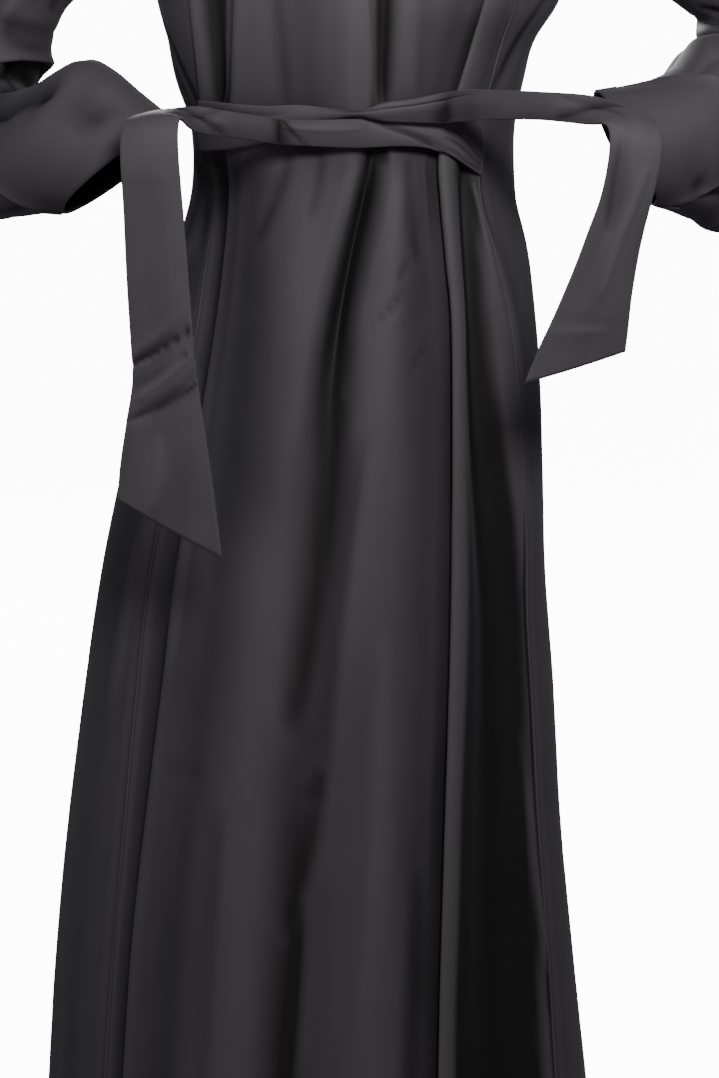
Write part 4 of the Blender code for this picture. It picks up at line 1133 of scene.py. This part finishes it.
def sleeve_row(stations, step):
    """The sleeve's points at a step, from one edge of the gore round to the other."""
    station = read(stations, step)
    return arc_row(station, station.gore_to, station.gore_from + 360.0, SLEEVE_COLUMNS)


def forearm_steps(pieces):
    """The steps of the forearm's rows, from the gore's tip to the cuff."""
    count = (CUFF_STEP - GORE_TIP_STEP) * pieces
    return [GORE_TIP_STEP + i / pieces for i in range(count + 1)]


def sleeve_points(stations, loop):
    """The sleeve's fine grid from its armhole to the cuff, open along its front seam."""
    first = stations[0]
    sideways = np.array([math.copysign(1.0, first.x), 0.0, 0.0])
    seam = np.array(station_point(first, math.radians(first.gore_to)))
    begin = int(np.argmin(np.linalg.norm(loop - seam, axis=1)))
    ring = np.roll(loop, -begin, axis=0)
    ring = np.concatenate([ring, ring[:1]])
    inward = ring.mean(axis=0) - ring
    inward[:, 0] = 0.0
    inward /= np.linalg.norm(inward, axis=1, keepdims=True)
    start = ring + (sideways + inward) * ARMHOLE_GAP
    outer = np.array(arc_row(first, first.gore_to, first.gore_to + 360.0, SLEEVE_COLUMNS))
    key_rows = [start, start + (outer - ring + sideways * UNDERARM_EASE) * EASE_RING]
    key_rows += [sleeve_row(stations, step) for step in range(1, GORE_TIP_STEP)]
    shoulder = refine(key_rows, SLEEVE_ROWS_FINE)[:-1]
    forearm = [sleeve_row(stations, step) for step in forearm_steps(2)]
    upper = refine([key_rows[-1]] + forearm, SLEEVE_ROWS_FINE // 2)
    return np.concatenate([shoulder, upper])


def gore_points(stations):
    """The fine grid of the wedge set into the front of the forearm."""
    rows = []
    for step in forearm_steps(2):
        station = read(stations, step)
        rows.append(arc_row(station, station.gore_from, station.gore_to, GORE_COLUMNS))
    return refine(rows, SLEEVE_ROWS_FINE // 2)


def laid_row(here):
    """A row across a tie where it lies on the body, made from the body's own points."""
    row = []
    for j in range(TIE_ACROSS + 1):
        t = 2.0 * j / TIE_ACROSS - 1.0
        z = here.z + t * here.width / 2
        row.append(skin(z, turn_at(z, here.x), here.out + TIE_CROWN * (1.0 - t * t)))
    return row


def free_row(table, key, side):
    """A row across a tie where it runs free, crowned towards one side."""
    here = read(table, key)
    ahead = read(table, key + 0.1)
    behind = read(table, key - 0.1)
    middle = Vector((here.x, here.y, here.z))
    path = Vector((ahead.x - behind.x, ahead.y - behind.y, ahead.z - behind.z)).normalized()
    across = Vector((here.wx, here.wy, here.wz)).normalized()
    out = (across.cross(path) * side).normalized()
    row = []
    for j in range(TIE_ACROSS + 1):
        t = 2.0 * j / TIE_ACROSS - 1.0
        row.append(middle + across * (t * here.width / 2) + out * TIE_CROWN * (1.0 - t * t))
    return row


def keyed(rows):
    """The rows of a table with a running key put in front, for reading between them."""
    kind = namedtuple("Keyed", ("key",) + rows[0]._fields)
    return [kind(float(key), *row) for key, row in enumerate(rows)]


def tie_points(laid, free, side):
    """A tie's fine grid, from its seam across the body and down to its slanted end."""
    on_body = keyed(laid)
    last = skin(laid[-1].z, turn_at(laid[-1].z, laid[-1].x), laid[-1].out)
    off_body = keyed([Free(last.x, last.y, last.z, laid[-1].width, 0.0, 0.0, 1.0)] + free)
    rows = []
    for i in range((len(on_body) - 1) * TIE_STEPS + 1):
        rows.append(laid_row(read(on_body, i / TIE_STEPS)))
    for i in range(1, (len(off_body) - 1) * TIE_STEPS + 1):
        rows.append(free_row(off_body, i / TIE_STEPS, side))
    return refine_across(refine(rows, TIE_ROWS_FINE), TIE_FINE)


class Value:
    """A number or a colour in a finish, so that its sums read as a formula."""

    def __init__(self, finish, socket):
        self.finish = finish
        self.socket = socket

    def sum(self, operation, *others):
        """This value and the others through one Math node."""
        sockets = dict(enumerate((self, *others)))
        node = self.finish.node("ShaderNodeMath", {"operation": operation}, sockets)
        return Value(self.finish, node.outputs[0])

    def __add__(self, other):
        return self.sum("ADD", other)

    def __mul__(self, other):
        return self.sum("MULTIPLY", other)

    def __sub__(self, other):
        return self.sum("SUBTRACT", other)

    def __rsub__(self, other):
        return (self * -1.0) + other

    __radd__ = __add__
    __rmul__ = __mul__

    def wave(self):
        """The sine of this value."""
        return self.sum("SINE")

    def away(self):
        """This value without its sign."""
        return self.sum("ABSOLUTE")


def colour_of(colour):
    """A colour for a socket, from three numbers or another socket."""
    return (*colour, 1.0) if isinstance(colour, tuple) else colour


class Finish:
    """One finish, with its nodes made by one method."""

    def __init__(self, name):
        self.material = bpy.data.materials.new(name)
        self.material.use_nodes = True
        self.tree = self.material.node_tree
        self.shader = self.tree.nodes["Principled BSDF"]

    def node(self, kind, settings=None, sockets=None):
        """A node of a kind, with its settings first and then its sockets' values or links."""
        node = self.tree.nodes.new(kind)
        for setting, value in (settings or {}).items():
            setattr(node, setting, value)
        self.connect(node, sockets or {})
        return node

    def connect(self, node, sockets):
        """Set or link a node's sockets."""
        for socket, value in sockets.items():
            if isinstance(value, Value):
                self.tree.links.new(value.socket, node.inputs[socket])
            elif isinstance(value, bpy.types.NodeSocket):
                self.tree.links.new(value, node.inputs[socket])
            else:
                node.inputs[socket].default_value = value

    def noise(self, where, scale, detail=2.0):
        """Soft noise over a place, from nought to one."""
        node = self.node(
            "ShaderNodeTexNoise", {"noise_dimensions": "3D"},
            {"Vector": where, "Scale": scale, "Detail": detail},
        )
        return Value(self, node.outputs["Fac"])

    def mix(self, share, first, second):
        """One colour turning into another."""
        node = self.node(
            "ShaderNodeMix", {"data_type": "RGBA"},
            {"Factor": share, 6: colour_of(first), 7: colour_of(second)},
        )
        return node.outputs[2]


def crepe(name, tone, sheen):
    """Fine black crepe: a warp and weft under a pebbled grain, with soft changes of tone, painted shade in
    the hollows of the cloth and painted light on raised cloth.
    """
    finish = Finish(name)
    place = finish.node("ShaderNodeTexCoord").outputs["Object"]
    weave = finish.node("ShaderNodeUVMap", {"uv_map": "weave"}).outputs["UV"]
    parts = finish.node("ShaderNodeSeparateXYZ", None, {"Vector": weave})
    warp = (Value(finish, parts.outputs["X"]) * (2.0 * math.pi / WEAVE_PITCH)).wave()
    weft = (Value(finish, parts.outputs["Y"]) * (2.0 * math.pi / WEAVE_PITCH)).wave()
    pebble = finish.noise(place, PEBBLE_SCALE, 3.0)
    slub = finish.noise(place, SLUB_SCALE)
    broad = finish.noise(place, BROAD_SCALE)
    patch = finish.noise(place, PATCH_SCALE, 3.0)
    # Painted shade: the hollow level made from the cloth's shape darkens the colour in hollows and leaves
    # raised cloth lighter.
    depth = finish.node("ShaderNodeAttribute", {"attribute_name": "hollow"})
    hollow = Value(finish, depth.outputs["Fac"])
    black, brown, dusk, hollow_shade_tone, nap_and_ridge_light = (tuple(part * tone for part in colour) for colour in CREPE_TONES)
    worn = finish.mix(broad, black, brown)
    darker = finish.mix(patch * DUSK_SHARE, worn, dusk)
    # Painted shade: hollows turn towards near black, flat cloth lies half way, and raised cloth keeps the
    # full tone.
    hollow_shaded = finish.mix(hollow, hollow_shade_tone, darker)
    # The weave's lighter nap shows only where the cloth is not sunk: partly the threads' own tone, partly
    # painted light on raised cloth.
    thread = finish.mix((warp * weft).away() * hollow * NAP_SHARE, hollow_shaded, nap_and_ridge_light)
    height = warp * weft * WEAVE_HEIGHT + pebble * PEBBLE_HEIGHT + slub * SLUB_HEIGHT
    grain = finish.node(
        "ShaderNodeBump", None,
        {"Strength": GRAIN_STRENGTH, "Distance": GRAIN_DEPTH, "Height": height},
    )
    finish.connect(finish.shader, {
        "Base Color": thread,
        "Roughness": CREPE_ROUGHNESS + patch * PATCH_ROUGHNESS + pebble * PEBBLE_ROUGHNESS,
        "Normal": grain.outputs["Normal"],
        "Specular IOR Level": CREPE_SPECULAR,
        "Sheen Weight": sheen,
        "Sheen Roughness": SHEEN_ROUGHNESS,
        "Sheen Tint": SHEEN_TINT,
        "Metallic": 0.0,
    })
    return finish.material


def thread_finish(name, colour):
    """Sewing thread: a twisted strand with a slight shine."""
    finish = Finish(name)
    place = finish.node("ShaderNodeTexCoord").outputs["Object"]
    twist = finish.noise(place, THREAD_SCALE, 1.0)
    lighter = tuple(part * THREAD_LIGHTER for part in colour)
    finish.connect(finish.shader, {
        "Base Color": finish.mix(twist, colour, lighter),
        "Roughness": THREAD_ROUGHNESS + twist * 0.15,
    })
    return finish.material


def stage_finish():
    """The pale floor and backdrop, a little uneven in tone."""
    finish = Finish("pale_stage")
    place = finish.node("ShaderNodeTexCoord").outputs["Object"]
    tone = finish.noise(place, STAGE_SCALE)
    finish.connect(finish.shader, {
        "Base Color": finish.mix(tone, *STAGE_TONES),
        "Roughness": 0.85 + tone * 0.05,
        "Emission Color": (1.0, 1.0, 1.0, 1.0),
        "Emission Strength": STAGE_GLOW,
    })
    return finish.material


def stitches(name, lines, finish):
    """Rows of short stitches, each a small spindle sunk at its ends; a line is points and ways out."""
    mesh = bmesh.new()
    for path, out in lines:
        lengths = lengths_along(path)
        for i in range(int(lengths[-1] / STITCH_PITCH)):
            begin, end = (
                Vector(spots_on(lengths, path, (i + share) * STITCH_PITCH)) for share in STITCH_SHARES
            )
            away = Vector(spots_on(lengths, out, (i + 0.5) * STITCH_PITCH))
            run = end - begin
            middle = (begin + end) / 2 + away * STITCH_OUT
            turn = run.to_track_quat("Z", "X").to_matrix().to_4x4()
            size = Matrix.Diagonal((STITCH_RADIUS, STITCH_RADIUS, run.length / 2, 1.0))
            bmesh.ops.create_icosphere(
                mesh, subdivisions=1, radius=1.0, matrix=Matrix.Translation(middle) @ turn @ size
            )
    piece = object_of(mesh, name, finish)
    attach(piece, "root")


def shaped(points, creases, across, along, flip, seed):
    """A fine grid with its creases and unevenness, and the way out from it."""
    out = normals_of(points, flip)
    height = crease_field(across, along, creases) + unevenness(points, seed)
    points = points + out * height[..., None]
    return points, normals_of(points, flip)


def round_body(points):
    """The measure round the body at a grid's points, in metres at the mean radius."""
    turn = np.arctan2(points[..., 0] + BODY_MIDDLE, -points[..., 1])
    return np.where(turn < 0.0, turn + 2.0 * math.pi, turn) * MEAN_RADIUS


def seamed(points, out, flip, top=False):
    """A panel with both its side seams and its hem turned in, and a neck edge where it has one."""
    edges = [*SIDE_SEAMS, (HEM_PROFILE, True, False)]
    if top:
        edges.append((NECK_PROFILE, False, False))
    return edged(points, out, flip, edges)


def build_panels(finish, thread):
    """The front, the sides and the back's halves; the armholes' edges are given back."""
    front = front_points()
    front, front_out = shaped(front, FRONT_CREASES, front[..., 0], front[..., 2], False, 3.0)
    names = ("side_panel_right", "back_panel_right", "back_panel_left", "side_panel_left")
    creases = in_metres(BACK_CREASES, math.radians(MEAN_RADIUS), 1.0)
    grids = {}
    for name, grid in zip(names, side_and_back_points()):
        grids[name] = shaped(grid, creases, round_body(grid), grid[..., 2], False, 9.0)
    left_loop = armhole_loop(front, grids["side_panel_left"][0], grids["back_panel_left"][0], True)
    right_loop = armhole_loop(front, grids["side_panel_right"][0], grids["back_panel_right"][0], False)
    grids["front_panel"] = (front, front_out)
    for name, flat, area in PANEL_CUTS:
        points, out = grids[name]
        points = seamed(points, out, False, not name.startswith("side"))
        cloth = sheet_object(name + "_cloth", points, False, WALL, finish)
        settle(cloth, name)
    hem = [(points[HEM_ROW], out[HEM_ROW]) for points, out in grids.values()]
    stitches("hem_stitches", hem, thread)
    neck = []
    for name in ("front_panel", "back_panel_left", "back_panel_right"):
        points, out = grids[name]
        inside = np.abs(points[0, :, 0]) < NECK_X
        neck.append((points[NECK_ROW][inside], out[NECK_ROW][inside]))
    stitches("neck_stitches", neck, thread)
    return left_loop, right_loop


def build_stage():
    """A pale round floor that curves up into a pale wall on all sides."""
    mesh = bmesh.new()
    profile = [(FLOOR_HOLE, 0.0), (FLOOR_RADIUS, 0.0)]
    for i in range(1, BOWL_STEPS + 1):
        angle = math.radians(90.0 * i / BOWL_STEPS)
        profile.append((FLOOR_RADIUS + BOWL_RADIUS * math.sin(angle), BOWL_RADIUS * (1.0 - math.cos(angle))))
    profile.append((FLOOR_RADIUS + BOWL_RADIUS, BOWL_HEIGHT))
    line = [mesh.verts.new((radius, 0.0, FLOOR_Z + height)) for radius, height in profile]
    edges = [mesh.edges.new(pair) for pair in zip(line, line[1:])]
    bmesh.ops.spin(
        mesh, geom=line + edges, cent=(0.0, 0.0, 0.0), axis=(0.0, 0.0, 1.0),
        angle=2.0 * math.pi, steps=STAGE_TURNS, use_merge=True,
    )
    bmesh.ops.remove_doubles(mesh, verts=mesh.verts, dist=0.0001)
    bmesh.ops.holes_fill(mesh, edges=mesh.edges, sides=STAGE_TURNS)
    bmesh.ops.recalc_face_normals(mesh, faces=mesh.faces)
    stage = object_of(mesh, "stage", stage_finish())
    stage.visible_diffuse = False
    stage.visible_glossy = False
    stage.visible_shadow = False


def soft_light(name, place, aim, size, power, colour, spread):
    """A large soft light that points at the garment."""
    lamp = bpy.data.lights.new(name, "AREA")
    lamp.shape = "RECTANGLE"
    lamp.size, lamp.size_y = size
    lamp.energy = power
    lamp.spread = math.radians(spread)
    lamp.color = colour
    light = bpy.data.objects.new(name, lamp)
    light.location = place
    light.visible_camera = False
    light.rotation_euler = (Vector(aim) - Vector(place)).to_track_quat("-Z", "Y").to_euler()
    bpy.context.scene.collection.objects.link(light)


def build_view():
    """The camera at the photo's angle, the soft lights and the pale surroundings."""
    eye = bpy.data.cameras.new("eye")
    eye.lens = LENS
    eye.sensor_width = SENSOR_WIDTH
    camera = bpy.data.objects.new("camera", eye)
    camera.location = CAMERA_PLACE
    camera.rotation_euler = (math.radians(90.0 - CAMERA_PITCH), 0.0, 0.0)
    bpy.context.scene.collection.objects.link(camera)
    bpy.context.scene.camera = camera
    for lamp in LAMPS:
        soft_light(*lamp)
    world = bpy.data.worlds.new("pale_room")
    world.use_nodes = True
    world.node_tree.nodes["Background"].inputs["Color"].default_value = ROOM_COLOUR
    world.node_tree.nodes["Background"].inputs["Strength"].default_value = ROOM_STRENGTH
    bpy.context.scene.world = world


def settle(piece, node):
    """Say what a piece of cloth replaces and rides on."""
    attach(piece, "root")
    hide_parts(node)


def gore_turns(stations, steps, field):
    """The turn of one edge of the gore at each row's step, as a column."""
    return np.array([getattr(read(stations, max(step, 1.0)), field) for step in steps])[:, None]


def build_sleeve(side, stations, loop, creases, gore_creases, flip, seed, finish, thread):
    """One sleeve and its gore."""
    points = sleeve_points(stations, loop)
    rows, columns = points.shape[:2]
    steps = np.concatenate([
        np.linspace(0.0, 1.0, SLEEVE_ROWS_FINE * 2 + 1)[:-1],
        np.linspace(1.0, CUFF_STEP, rows - SLEEVE_ROWS_FINE * 2),
    ])
    start = gore_turns(stations, steps, "gore_to")
    end = gore_turns(stations, steps, "gore_from") + 360.0
    across = (start + (end - start) * np.linspace(0.0, 1.0, columns)[None]) * TURN_METRES
    along = np.repeat(steps[:, None], columns, axis=1) * STEP_METRES
    creases = in_metres(creases, TURN_METRES, STEP_METRES)
    points, out = shaped(points, creases, across, along, flip, seed)
    cuff = [(points[CUFF_ROW], out[CUFF_ROW])]
    points = edged(points, out, flip, [CUFF_EDGE, ARMHOLE_EDGE, *SIDE_SEAMS])
    sleeve = sheet_object("sleeve_" + side + "_cloth", points, flip, WALL, finish)
    gore = gore_points(stations)
    rows, columns = gore.shape[:2]
    steps = np.linspace(GORE_TIP_STEP, CUFF_STEP, rows)
    start = gore_turns(stations, steps, "gore_from")
    end = gore_turns(stations, steps, "gore_to")
    across = (start + (end - start) * np.linspace(0.0, 1.0, columns)[None]) * TURN_METRES
    along = np.repeat(steps[:, None], columns, axis=1) * STEP_METRES
    creases = in_metres(gore_creases, TURN_METRES, STEP_METRES)
    gore, out = shaped(gore, creases, across, along, flip, seed + 2.0)
    cuff.append((gore[CUFF_ROW], out[CUFF_ROW]))
    stitches("cuff_" + side + "_stitches", cuff, thread)
    gore = edged(gore, out, flip, [CUFF_EDGE, *SIDE_SEAMS])
    wedge = sheet_object("sleeve_gore_" + side + "_cloth", gore, flip, WALL, finish)
    return sleeve, wedge


def build_tie(side, laid, free, facing, creases, finish):
    """One waist tie, folded double, with rounded edges."""
    points = tie_points(laid, free, facing)
    rows, columns = points.shape[:2]
    run = lengths_along(points[:, columns // 2])
    along = np.repeat(run[:, None], columns, axis=1)
    widths = np.linalg.norm(points[:, -1] - points[:, 0], axis=1)[:, None]
    across = widths * np.linspace(-0.5, 0.5, columns)[None]
    flip = facing > 0
    points, out = shaped(points, creases, across, along, flip, 5.0 + facing)
    reach = np.minimum(widths / TIE_FULL_WIDTH, 1.0)
    points = edged(points, out, flip, TIE_EDGES, reach)
    return sheet_object("tie_" + side + "_cloth", points, flip, TIE_WALL, finish)


def main():
    """Build every piece."""
    # One crepe in three tones: the sleeves' copy is painted a little darker and the ties' copy a little
    # lighter than the panels', as painted shade and painted light.
    panel_crepe = crepe("black_crepe_cloth", 1.0, 0.04)
    sleeve_crepe = crepe("black_crepe_sleeves", 0.96, 0.04)
    tie_crepe = crepe("tie_crepe_cloth", 1.12, 0.05)
    thread = thread_finish("black_thread", THREAD_COLOUR)
    left_loop, right_loop = build_panels(panel_crepe, thread)
    sleeve, gore = build_sleeve(
        "left", LEFT_SLEEVE, left_loop, LEFT_SLEEVE_CREASES, LEFT_GORE_CREASES, False, 21.0,
        sleeve_crepe, thread,
    )
    settle(sleeve, "sleeve_left")
    settle(gore, "sleeve_gore_left")
    sleeve, gore = build_sleeve(
        "right", RIGHT_SLEEVE, right_loop, RIGHT_SLEEVE_CREASES, RIGHT_GORE_CREASES, True, 33.0,
        sleeve_crepe, thread,
    )
    settle(sleeve, "sleeve_right")
    settle(gore, "sleeve_gore_right")

    tie = build_tie("left", LEFT_TIE_LAID, LEFT_TIE_FREE, -1.0, LEFT_TIE_CREASES, tie_crepe)
    settle(tie, "tie_left")
    tie = build_tie("right", RIGHT_TIE_LAID, RIGHT_TIE_FREE, 1.0, RIGHT_TIE_CREASES, tie_crepe)
    settle(tie, "tie_right")

    build_stage()
    build_view()


main()
